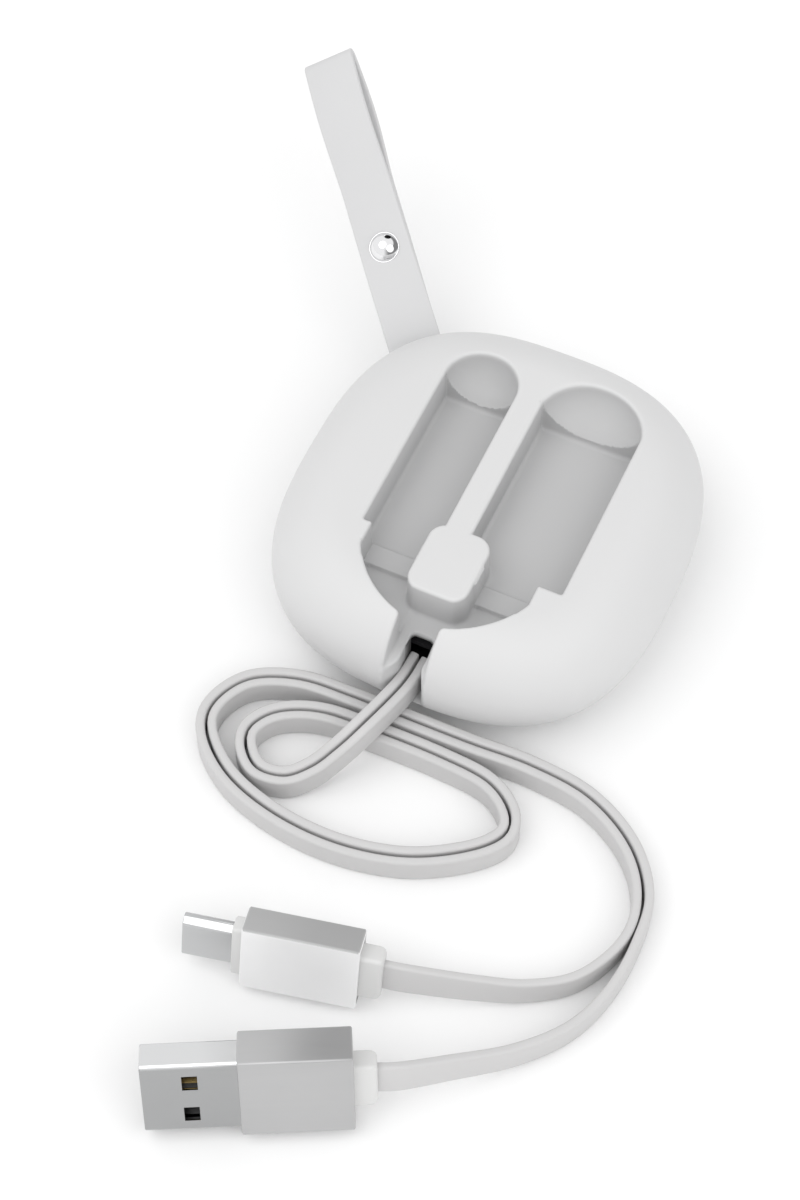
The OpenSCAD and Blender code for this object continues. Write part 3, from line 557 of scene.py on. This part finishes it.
def moulding(name, field, low, high, cell, keep, masks):
    """A piece of the case, thinned to the share keep of its faces and with exact normals.

    masks are fields that go onto the mesh as point attributes, by name.
    """
    points, faces = surface_of(field, low, high, cell)
    points = settle(field, points, cell / 2)
    piece = new_piece(name, points, faces, "case", "case_white", case_plastic, angle=None)
    thin = piece.modifiers.new("thin", "DECIMATE")
    thin.ratio = keep
    mesh = apply_modifiers(piece)
    flat = np.zeros(len(mesh.vertices) * 3)
    mesh.vertices.foreach_get("co", flat)
    points = settle(field, flat.reshape(-1, 3) / MM, cell / 3, 2)
    mesh.vertices.foreach_set("co", (points * MM).ravel())
    for label, mask in masks.items():
        value = mesh.attributes.new(label, "FLOAT", "POINT")
        value.data.foreach_set("value", mask(*points.T).astype(np.float32))
    slope = steepness(field, points)
    slope /= np.maximum(np.linalg.norm(slope, axis=1)[:, None], 1e-9)
    mesh.shade_smooth()
    mesh.normals_split_custom_set_from_vertices(slope.tolist())
    print(name, "has", len(mesh.polygons), "faces")
    return piece


# %% [markdown]
# ## The pebble
# Seen from above, the case is a superellipse: squarer than an ellipse, softer than a square. Its
# rim is a quarter ellipse above and below the middle. To find how far a point is from the flat
# top, the top's own superellipse is grown or shrunk until it passes through the point.

# %% Pebble field
case_width, case_length, case_height = 57.0, 60.0, 20.0
squareness, rim_roll, wall = 2.75, 9.3, 1.8
flat_x, flat_y = case_width / 2 - rim_roll, case_length / 2 - rim_roll
half_height = case_height / 2


def outline_growth(x, y):
    """How much the flat top's outline grows to pass through a point."""
    growth = np.zeros(np.broadcast(x, y).shape)
    for _ in range(5):
        a, b = np.maximum(flat_x + growth, 0.5), np.maximum(flat_y + growth, 0.5)
        ratio = ((np.abs(x) / a) ** squareness + (np.abs(y) / b) ** squareness) ** (1 / squareness)
        growth = a * ratio - flat_x
    return growth


def pebble(x, y, z, inset=0.0):
    """The case without anything sunk into it, or its inner face inset further in."""
    roll, half = rim_roll - inset, half_height - inset
    side = np.maximum(outline_growth(x, y), 0) / roll
    return (np.hypot(side, (z - half_height) / half) - 1) * (roll + half) / 2


# %% [markdown]
# ## What is sunk into the face
# Each plug has a bay for its sleeve, with a pocket for its collar and a bowl for a fingertip. A
# curved channel takes both leads round the head of a bar to the exit slot, where the floor falls
# away and the walls open out like lips. The leads come up through a passage in that floor. Its
# mouth is painted black, as painted shade for the unlit room of the reel that one looks into. The
# bays and scoops are painted a darker grey, as painted shade for the light they lose.

# %% Bays, scoops, channels and slot
# Each place is x from, x to, y from, y to; each scoop is x, y, radius, depth. Beyond pocket_line
# the pockets keep inside the channel's round end, and the channel starts a hair before it.
large_bay, small_bay = (1.0, 16.1, -12.6, 16.2), (-13.8, -3.0, -12.6, 15.4)
large_pocket, small_pocket = (4.55, 12.55, -18, -9), (-12.4, -4.4, -18, -9)
pocket_line, channel_line = -15.9, -15.89
channel_radius, channel_y = 13.5, -10.7
bar_head = (-4.5, 4.5, -20.1, -8.6)
large_scoop, small_scoop = (8.55, 14.32, 7.781, 5.5), (-8.4, 15.4, 5.4, 5.5)
bay_floor, scoop_top = 13.6, 19.7
ramp_half, ramp_start, ramp_end, ramp_low = 3.0, -20.1, -24.8, 12.3
lips_start, lip_half, lip_flare = -26.6, 1.7, 1.5
passage = (-1.7, 1.7, -26.0, -22.5)


def sunk_plan(x, y):
    """The bays, collar pockets and curved channel seen from above."""
    bays = np.minimum(box2(x, y, *large_bay, 0.3), box2(x, y, *small_bay, 0.3))
    round_end = np.hypot(x, y - channel_y) - channel_radius
    pockets = np.minimum(box2(x, y, *large_pocket, 0.3), box2(x, y, *small_pocket, 0.3))
    beyond = np.minimum(round_end - 0.1, pocket_line - y + 0.1) * (y < pocket_line)
    pockets = np.maximum(pockets, beyond)
    channel = np.maximum(round_end, y - channel_line)
    head = box2(x, y, *bar_head, 2.5)
    return np.maximum(np.minimum(np.minimum(bays, pockets), channel), -head)


def bowl(x, y, z, x0, y0, radius, depth, line):
    """A scoop like part of a ball, from line on."""
    away = np.hypot(np.hypot(x - x0, y - y0) / radius, (z - case_height) / depth)
    return np.maximum((away - 1) * depth, line - 0.01 - y)


def sunk(x, y, z):
    """Negative in the bays, channels, scoops and slot."""
    bays = soft_max(sunk_plan(x, y), bay_floor - z, 0.8)
    scoops = np.minimum(bowl(x, y, z, *large_scoop, large_bay[3]),
                        bowl(x, y, z, *small_scoop, small_bay[3]))
    fall = np.clip((ramp_start - y) / (ramp_start - ramp_end), 0, 1)
    floor = bay_floor + (ramp_low - bay_floor) * fall
    ramp = soft_max(soft_max(np.abs(x) - ramp_half, y - ramp_start, 0.8), floor - z, 0.8)
    open_out = np.clip((lips_start - y) / 4.0, 0, 1)
    lips = lip_half + lip_flare * open_out * open_out * (3 - 2 * open_out)
    slot = soft_max(np.abs(x) - lips, y - ramp_end, 1.0)
    return soft_min(np.minimum(bays, scoops), soft_min(ramp, slot, 0.5), 0.6)


def recess_shade_mask(x, y, z):
    """Painted shade: 1 in the bays and scoops, which are painted a darker grey, and 0 on the
    outside.
    """
    near = np.clip(0.5 - sunk(x, y, z) / 0.4, 0, 1)
    deep = np.clip((scoop_top - z) / 0.8, 0, 1)
    return near * deep * np.clip((y + 26.5) / 3, 0, 1)


def well(x, y):
    """The leads' passage seen from above."""
    return box2(x, y, *passage, 0.7)


def hole_shade_mask(x, y, z):
    """Painted shade: 1 on the walls of the passage's mouth, painted black where one looks into the
    unlit reel.
    """
    near = np.clip(0.8 - well(x, y) / 0.25, 0, 1)
    return near * np.clip((y + 25.0) / 0.3, 0, 1) * np.clip((12.45 - z) / 0.3, 0, 1)


# %% [markdown]
# ## Where the strap goes in
# The strap turns round a steel bar behind the rim of one corner, so that corner has a pocket. It
# has coordinates of its own: u points out through the corner and v across it. Inside, the reel has
# one round room, and three screws come up from the back into bosses.

# %% Strap pocket, inside of the case
bar_height, bar_radius, bar_inset = 8.0, 1.2, 4
strap_width, strap_layer, layer_gap = 8.0, 0.85, 0.06
strap_turn, strap_rise = math.radians(133), math.radians(24)
bulge = rim_roll * math.cos(math.asin(bar_height / half_height - 1))
rim_out = ((abs(math.cos(strap_turn)) / (flat_x + bulge)) ** squareness
           + (abs(math.sin(strap_turn)) / (flat_y + bulge)) ** squareness) ** (-1 / squareness)
bar_out = rim_out - bar_inset
pocket_top = (bar_height + bar_inset * math.tan(strap_rise)
              + (strap_layer + layer_gap) / math.cos(strap_rise) + 0.4)
pocket_half, pocket_back = 4.4, bar_out - 2.43
bar_half, bar_seat = 6.1, 1.3
seam = 4.6
screw_out, boss_radius, head_radius, head_top, shank_radius = 17.78, 2.2, 1.8, 3.35, 1.1
reel_radius, tub_wall, gate_half, block_back, block_half = 22.45, 1.4, 3.2, 22.95, 7.6


def corner_axes(x, y):
    c, s = math.cos(strap_turn), math.sin(strap_turn)
    return c * x + s * y, c * y - s * x


def strap_pocket(x, y, z):
    u, v = corner_axes(x, y)
    mouth = soft_max(box2(v, z, -pocket_half, pocket_half, -5, pocket_top, 0.8),
                     pocket_back - u, 0.4)
    bar_hole = np.maximum(np.abs(u - bar_out) - bar_seat, np.abs(v) - bar_half)
    return np.minimum(mouth, np.maximum(bar_hole, z - bar_height - bar_seat))


def screw_distance(x, y, radius):
    """Distance to upright pins of one radius where the three screws are."""
    spots = [(screw_out, screw_out), (screw_out, -screw_out), (-screw_out, -screw_out)]
    return np.minimum.reduce([np.hypot(x - a, y - b) for a, b in spots]) - radius


def reel_room(x, y, z):
    """The hollow of the case; the bays' tubs, bosses and corner block stand in it."""
    u, v = corner_axes(x, y)
    room = pebble(x, y, z, wall)
    block = np.maximum(block_back - u, np.maximum(np.abs(v) - block_half, z - pocket_top - 1.2))
    gate = np.maximum(np.abs(x) - gate_half, y + reel_radius + 0.4)
    boss = screw_distance(x, y, boss_radius)
    for solid in (sunk(x, y, z) - tub_wall, block, gate, boss):
        room = np.maximum(room, -solid)
    return room


def front_field(x, y, z):
    """The front half: the pebble above the seam, less all that is sunk into it and hollow."""
    body = soft_max(pebble(x, y, z), seam + 0.02 - z, 0.25)
    body = soft_max(body, -sunk(x, y, z), 0.55)
    body = soft_max(body, -strap_pocket(x, y, z), 0.4)
    body = soft_max(body, -np.maximum(well(x, y), 4.0 - z), 0.2)
    return np.maximum(body, -reel_room(x, y, z))


def rear_field(x, y, z):
    """The back half, with its holes for the screws."""
    body = soft_max(pebble(x, y, z), z - seam + 0.02, 0.25)
    heads = np.maximum(screw_distance(x, y, head_radius), z - head_top)
    body = soft_max(body, -np.minimum(heads, screw_distance(x, y, shank_radius)), 0.15)
    room = np.maximum(pebble(x, y, z, wall), -screw_distance(x, y, boss_radius))
    return np.maximum(body, -room)


# The two masks carry painted shade: grey in the bays and scoops, black in the passage's mouth.
front = moulding("case_front", front_field, (-29.2, -30.7, 4.2), (29.2, 30.7, 20.6), 0.3, 0.42,
                 {"recess_shade": recess_shade_mask, "hole": hole_shade_mask})
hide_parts("front_shell")
rear = moulding("case_back", rear_field, (-29.2, -30.7, -0.5), (29.2, 30.7, 5.1), 0.36, 0.5, {})
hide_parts("rear_cover")

# %% [markdown]
# ## The strap
# The strap is one band of soft plastic. It goes out from the bar, turns back at the far end and
# comes home, and a rivet holds both layers together. The far end springs open a little, like a
# teardrop, and the whole strap is a little twisted, which lets one look into the teardrop from the
# right. Its side view is drawn first, as the middle line of the band, and a flat section follows
# that line.

# %% Strap band
strap_length = 52.4
full_twist, twist_line, twist_start, twist_run = math.radians(30), -2.4, 3, 34
lay, gape_start = strap_layer / 2 + layer_gap, 0.58
eye = bar_radius + 0.08 + strap_layer / 2
corner_way = np.array([math.cos(strap_turn), math.sin(strap_turn), 0])
corner_side = np.array([-math.sin(strap_turn), math.cos(strap_turn), 0])
bar_middle = bar_out * corner_way + np.array([0, 0, bar_height])
out_way = corner_way * math.cos(strap_rise) + np.array([0, 0, math.sin(strap_rise)])
up_way = -corner_way * math.sin(strap_rise) + np.array([0, 0, math.cos(strap_rise)])


def strap_frame(s):
    """The strap's sideways and upward directions, s along it: soft as it is, it twists a little."""
    share = min(max((s - twist_start) / twist_run, 0), 1)
    twist = full_twist * math.sin(math.pi / 2 * share)
    c, d = math.cos(twist), math.sin(twist)
    return corner_side * c - up_way * d, up_way * c + corner_side * d


def at_strap(s, h, v=0.0):
    """A point s along the strap from its bar, h above its middle and v to the side."""
    side_way, lift = strap_frame(s)
    return (bar_middle + s * out_way + h * lift + twist_line * corner_side
            + (v - twist_line) * side_way)


def half_gap(s, gape):
    """How far a layer is from the strap's middle; gape is how far it springs open at most."""
    t = s / strap_length
    if t < gape_start:
        return lay
    rise = math.sin(math.pi * ((t - gape_start) / (1 - gape_start)) ** 1.15)
    return lay + gape * max(rise, 0) ** 1.3


def one_side(gape):
    """The middle line of one layer, from the eye round the bar to just before the fold."""
    around = [(eye * math.cos(math.radians(a)), eye * math.sin(math.radians(a)))
              for a in range(165, 45, -15)]
    straight = [(s, half_gap(s, gape)) for s in np.linspace(5.5, strap_length - 1.3, 30)]
    return around + straight + [(strap_length - 0.7, 0.42)]


loop = np.array([(-eye, 0)] + one_side(0.9) + [(strap_length - 0.43, 0)]
                + [(s, -h) for s, h in one_side(1.5)[::-1]])
band_line = smooth_line(np.vstack([loop, loop[:1]]), 0.5)[:-1]
way = np.roll(band_line, -1, 0) - np.roll(band_line, 1, 0)
way /= np.linalg.norm(way, axis=1)[:, None]
section = rounded_outline(strap_layer, strap_width, 0.26, 4)
rings = [[at_strap(p[0] - w[1] * t, p[1] + w[0] * t, v) for t, v in section]
         for p, w in zip(band_line, way)]
band = new_piece("strap_loop", *join_rings(rings, closed=True), "strap", "strap_white",
                 strap_band_finish, angle=60)
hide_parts("strap_band")

# %% [markdown]
# The rivet's head is a shallow polished dome with a rolled edge, and its foot is a flat disc under
# the strap. Both are turned: one profile, spun round.

# %% Rivet
def turned_piece(name, profile, centre, axis):
    """A profile of (radius, height) spun round a leaning axis."""
    first = np.cross(axis, [0, 0, 1.0])
    first /= np.linalg.norm(first)
    second = np.cross(axis, first)
    turns = np.linspace(0, 2 * math.pi, 48, endpoint=False)
    rings = [[centre + h * axis + r * (math.cos(a) * first + math.sin(a) * second) for a in turns]
             for r, h in profile]
    return new_piece(name, *join_rings(rings), "strap", "rivet_chrome", chrome)


rivet_at, rivet_radius, dome = 21.5, 2.25, 1.3
lay_top = strap_layer + layer_gap
ball = (rivet_radius ** 2 + dome ** 2) / (2 * dome)
arc = [(ball * math.sin(a), dome + 0.05 - ball + ball * math.cos(a))
       for a in np.linspace(math.asin(rivet_radius / ball) * 0.97, 0.02, 14)]
profile = [(rivet_radius - 0.25, 0.0), (rivet_radius, 0.02), (rivet_radius + 0.02, 0.12)] + arc
rivet_way = strap_frame(rivet_at)[1]
cap = turned_piece("rivet_head", profile, at_strap(rivet_at, lay_top + 0.02), rivet_way)
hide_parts("rivet_cap")
foot = [(rivet_radius - 0.5, 0.0), (rivet_radius - 0.14, 0.24), (rivet_radius - 0.1, 0.32),
        (rivet_radius - 0.1, 0.76), (rivet_radius - 0.16, 0.8)]
post = turned_piece("rivet_foot", foot, at_strap(rivet_at, -lay_top - 0.82), rivet_way)
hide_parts("rivet_post")

# %% [markdown]
# ## The plugs
# Both plugs stand on a narrow side and lean back a little. Each has a steel shell, a brushed
# aluminium sleeve with hairline bevels, and a white moulding whose collar takes the lead. A sleeve
# is a tube: its rings go along the outside, turn in over the edge and come back inside.

# %% Plug helpers
def plug_axes(at, turn, sleeve):
    """Gives a function that places a point: x behind the sleeve's front, y across, z upward."""
    a, c, s = math.radians(turn), math.cos(plug_lean), math.sin(plug_lean)
    along = np.array([math.cos(a), math.sin(a), 0])
    across = np.array([-math.sin(a) * c, math.cos(a) * c, -s])
    upward = np.array([-math.sin(a) * s, math.cos(a) * s, c])
    start = np.array([at[0], at[1], plug_middle(sleeve)]) - along * sleeve[0] / 2
    return lambda x, y, z: start + x * along + y * across + z * upward


def stations(place, profile, thickness, width, steps=5):
    """Rings along a plug; each station is (x, how much smaller all round, corner radius)."""
    return [[place(x, y, z) for y, z
             in rounded_outline(thickness - 2 * inset, width - 2 * inset, r, steps)]
            for x, inset, r in profile]


def sleeve_piece(name, place, sleeve, opening, finish):
    """The tube of a sleeve; opening is the thickness and width of its front hole."""
    length, thickness, width = sleeve
    r = 0.35
    outer = stations(place, [(0.0, 0.22, r), (0.06, 0.1, r), (0.2, 0.0, r), (length - 0.2, 0.0, r),
                             (length - 0.06, 0.1, r), (length, 0.22, r), (length, 0.5, 0.2)],
                     thickness, width)
    inner = stations(place, [(0.6, 0.5, 0.2)], thickness, width)
    front = stations(place, [(0.6, 0, 0.45), (0.05, 0, 0.45), (0.0, -0.05, 0.45)], *opening)
    return new_piece(name, *join_rings(outer + inner + front, closed=True), "case",
                     "sleeve_aluminium", finish, angle=50)


usb_place = plug_axes(usb_at, usb_turn, usb_sleeve)
micro_place = plug_axes(micro_at, micro_turn, micro_sleeve)
large_sleeve = sleeve_piece("large_sleeve", usb_place, usb_sleeve, (4.6, 12.1), usb_aluminium)
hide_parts("usb_a_sleeve")
small_sleeve = sleeve_piece("small_sleeve", micro_place, micro_sleeve, (3.1, 8.3), micro_aluminium)
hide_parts("micro_sleeve")


# %% Collars
def plug_body(name, place, sleeve, start, front=()):
    """The moulding: a block inside the sleeve, and the collar that grips the lead."""
    length, thickness, width = sleeve
    block = stations(place, [(start, 0, 0.3), (length - 0.15, 0, 0.3)],
                     thickness - 1.1, width - 1.1)
    grip = stations(place, [(length - 0.15, 0, 0.6), (length + 1.9, 0, 0.6),
                            (length + 2.4, 0.05, 0.6), (length + 2.8, 0.22, 0.6),
                            (length + collar_length, 0.5, 0.5)], 3.4, 7.2)
    return new_piece(name, *join_rings([*front, *block, *grip]), "case", "plug_white",
                     plug_moulding, angle=50)


large_body = plug_body("large_plug_body", usb_place, usb_sleeve, 6.3)
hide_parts("usb_a_overmould")
print("collar reaches", usb_sleeve[0] + collar_length, "mm behind the sleeve's front")

# %% [markdown]
# The large shell is a rectangular tube of folded steel with two windows in each wide face. The
# tube is made of rings, and the windows are cut with a boolean, which suits flat walls and sharp
# holes.

# %% Large steel shell
def block_cutter(place, x0, x1, y0, y1, z0, z1):
    """A box in a plug's own directions, to cut with."""
    points = [place(x, y, z) for x in (x0, x1) for y in (y0, y1) for z in (z0, z1)]
    faces = [(0, 1, 3, 2), (4, 6, 7, 5), (0, 4, 5, 1), (2, 3, 7, 6), (0, 2, 6, 4), (1, 5, 7, 3)]
    mesh = bpy.data.meshes.new("cutter")
    mesh.from_pydata((np.array(points) * MM).tolist(), [], faces)
    cutter = bpy.data.objects.new("cutter", mesh)
    bpy.context.scene.collection.objects.link(cutter)
    return cutter


def cut(piece, cutters):
    """Cuts boxes out of folded sheet; edges sharper than fold_angle (degrees) stay crisp."""
    for cutter in cutters:
        modifier = piece.modifiers.new("cut", "BOOLEAN")
        modifier.operation, modifier.object, modifier.solver = "DIFFERENCE", cutter, "EXACT"
    mesh = apply_modifiers(piece)
    mesh.shade_smooth()
    mesh.set_sharp_from_angle(angle=math.radians(fold_angle))
    for cutter in cutters:
        bpy.data.objects.remove(cutter)


shell_out, shell_in, fold_angle = 12.3, 6.2, 35
outer = stations(usb_place, [(shell_in, 0, 0.7), (-shell_out + 0.15, 0, 0.7),
                             (-shell_out, 0.08, 0.65)], 4.5, 12.0, 6)
inner = stations(usb_place, [(-shell_out, 0, 0.45), (-shell_out + 0.1, 0.02, 0.4),
                             (shell_in, 0.02, 0.4)], 3.96, 11.46, 6)
large_shell = new_piece("large_shell", *join_rings(outer + inner, closed=True), "case",
                        "plug_steel", usb_steel, angle=fold_angle)
window_x = -shell_out + 5.2
cut(large_shell, [block_cutter(usb_place, window_x, window_x + 2.0, -4, 4, z - 1.25, z + 1.25)
                  for z in (-2.85, 2.85)])
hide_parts("usb_a_shell")

# %% [markdown]
# The small shell is flatter, and its two corners on one side are cut off so that it only goes in
# one way up. Its outline is rounded where the sheet is folded.

# %% Small steel shell
def micro_outline(width, thickness, radius):
    """The small plug's outline with rounded corners."""
    low, side, slant = -thickness / 2, width / 2, width / 2 - 0.7
    corners = np.array([(low, -slant), (0, -side), (-low, -side), (-low, side), (0, side),
                        (low, slant)])
    points = []
    for i, corner in enumerate(corners):
        a, b = corners[i - 1] - corner, corners[(i + 1) % len(corners)] - corner
        a, b = a / np.linalg.norm(a), b / np.linalg.norm(b)
        half = math.acos(float(np.clip(a @ b, -1, 1))) / 2
        reach = min(radius / math.tan(half), 0.32)
        r = reach * math.tan(half)
        middle = (a + b) / np.linalg.norm(a + b)
        centre = corner + middle * r / math.sin(half)
        p, q = corner + a * reach - centre, corner + b * reach - centre
        for t in np.arange(6) / 5:
            d = p * (1 - t) + q * t
            points.append(centre + d / np.linalg.norm(d) * r)
    return np.array(points)


neck, micro_out, micro_in = 1.4, 6.8, 4.0
mouth = -neck - micro_out
hook_x = mouth + 1.6
micro_profile = [(micro_in, 0, 0.35), (mouth + 0.12, 0, 0.35), (mouth, 0.06, 0.32),
                 (mouth, 0.2, 0.2), (mouth + 0.1, 0.25, 0.2), (micro_in, 0.25, 0.2)]
rings = [[micro_place(x, y, z) for y, z in micro_outline(6.85 - 2 * inset, 1.8 - 2 * inset, r)]
         for x, inset, r in micro_profile]
small_shell = new_piece("small_shell", *join_rings(rings, closed=True), "case", "plug_steel",
                        micro_steel, angle=fold_angle)
cut(small_shell, [block_cutter(micro_place, hook_x - 0.08, hook_x + 1.48, 0.5, 1.3,
                               z - 0.43, z + 0.43) for z in (-1.6, 1.6)])
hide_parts("micro_shell")

# %% Small plug's moulding, with a neck in front
block_front = 0.65
neck_rings = stations(micro_place, [(-neck, 0.15, 0.5), (-neck + 0.15, 0.0, 0.5),
                                    (block_front, 0.0, 0.5)], 3.0, 8.2)
small_body = plug_body("small_plug_body", micro_place, micro_sleeve, block_front, neck_rings)
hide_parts("micro_overmould")

# %% [markdown]
# ## Finishes of the parts that keep their CAD shape
# The reel with its roll of lead, its spring and axle, the lever, the screws, the strap's bar and
# the parts inside the plugs are right as they are. They get their finish by the name of their node.

# %% Finishes by node
kept = {
    "case_screws": turned_steel, "strap_bar": turned_steel, "reel_axle": turned_steel,
    "reel_spool": reel_plastic, "reel_flange": reel_plastic, "power_spring": spring_steel,
    "cable_winding": lead_jacket, "lock_lever": lever_plastic, "usb_a_tongue": black_insulator,
    "usb_a_contacts": gold, "micro_tongue": black_insulator, "micro_contacts": gold,
    "micro_latch_hooks": turned_steel,
}
for node_name, finish in kept.items():
    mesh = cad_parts[node_name].data
    mesh.materials.clear()
    mesh.materials.append(finish)
print("kept CAD nodes:", len(kept))

# %% [markdown]
# ## Floor and light
# The floor is plain and nearly white. The world is a soft dome, a little brighter in front of the
# object than behind it. Shiny surfaces see dark cards there instead, and one small bright window:
# polished metal looks like metal when it has something dark to reflect. Two large soft lamps give
# the forms their shading.

# %% Floor
floor_mesh = bpy.data.meshes.new("floor")
size = 3.0
floor_mesh.from_pydata([(-size, -size, 0), (size, -size, 0), (size, size, 0), (-size, size, 0)],
                       [], [(0, 1, 2, 3)])
floor = bpy.data.objects.new("floor", floor_mesh)
floor.location.z = -0.00005
bpy.context.scene.collection.objects.link(floor)
paper, tree, shader = start_finish("pale floor")
sheet = place_effect(tree, tone, Color=(0.93, 0.93, 0.93, 1), Amount=0.01, Scale=8.0)
wire(tree, (sheet, "Color", shader, "Base Color"))
shader.inputs["Roughness"].default_value = 0.9
shader.inputs["Specular IOR Level"].default_value = 0.1
floor_mesh.materials.append(paper)

# %% World: a soft dome, and cards that only shiny surfaces see
world = bpy.data.worlds.new("studio")
bpy.context.scene.world = world
world.use_nodes = True
tree = world.node_tree
background = tree.nodes["Background"]
direction = add(tree, "TexCoord")
ray = add(tree, "LightPath")


def fade_towards(way, start, end, before, after):
    """From one value to another as a direction nears way; start and end are degrees from it."""
    near = add(tree, "VectorMath", operation="DOT_PRODUCT")
    near.inputs[1].default_value = Vector(way).normalized()
    fade = map_range(tree, math.cos(math.radians(start)), math.cos(math.radians(end)),
                     before, after)
    tree.links.new(direction.outputs["Generated"], near.inputs[0])
    tree.links.new(near.outputs["Value"], fade.inputs["Value"])
    return fade.outputs["Result"]


def choose(test, no, yes):
    """yes where the test is 1 and no where it is 0; each is a number or a socket."""
    pick = add(tree, "Mix", data_type="FLOAT")
    tree.links.new(test, pick.inputs["Factor"])
    for label, value in (("A", no), ("B", yes)):
        if isinstance(value, float):
            pick.inputs[label].default_value = value
        else:
            tree.links.new(value, pick.inputs[label])
    return pick.outputs["Result"]


def product(*sockets):
    """All the values multiplied."""
    total = sockets[0]
    for socket in sockets[1:]:
        times = add(tree, "Math", operation="MULTIPLY")
        tree.links.new(total, times.inputs[0])
        tree.links.new(socket, times.inputs[1])
        total = times.outputs[0]
    return total


dome = fade_towards((0.25, 0.9, 0.1), 130, 25, 0.9, 0.8)
grey_card = product(fade_towards((0.906, 0.423, 0), 107.5, 76.7, 0.0, 0.75),
                    fade_towards((0, 0, 1), 87, 80, 0.0, 1.0),
                    fade_towards((0, 0, 1), 48, 42, 1.0, 0.0))
cards = product(choose(grey_card, 1.0, 0.0),
                fade_towards((-0.22, 0.87, 0.43), 11, 9.5, 1.0, 0.1),
                fade_towards((-0.2, 0.7, 0.68), 16.5, 15, 1.0, 0.02),
                fade_towards((-0.49, 0.742, 0.459), 3, 2.2, 1.0, 3.0))
light = choose(ray.outputs["Is Glossy Ray"], dome, cards)
light = choose(ray.outputs["Is Camera Ray"], light, 1.0)
light = choose(ray.outputs["Is Transmission Ray"], light, 1.0)
tree.links.new(light, background.inputs["Strength"])
background.inputs["Color"].default_value = (1, 1, 1, 1)
print("world:", len(tree.nodes), "nodes")


# %% Lamps
def soft_lamp(name, place, size, power):
    """A round lamp that looks at the object."""
    lamp = bpy.data.lights.new(name, "AREA")
    lamp.shape, lamp.size, lamp.energy = "DISK", size, power
    put(name, lamp, place, Vector((0, -0.03, 0)) - Vector(place))


soft_lamp("key lamp", (-0.35, -0.3, 0.9), 0.9, 2.4)
soft_lamp("fill lamp", (0.6, -0.3, 0.7), 0.9, 2.0)
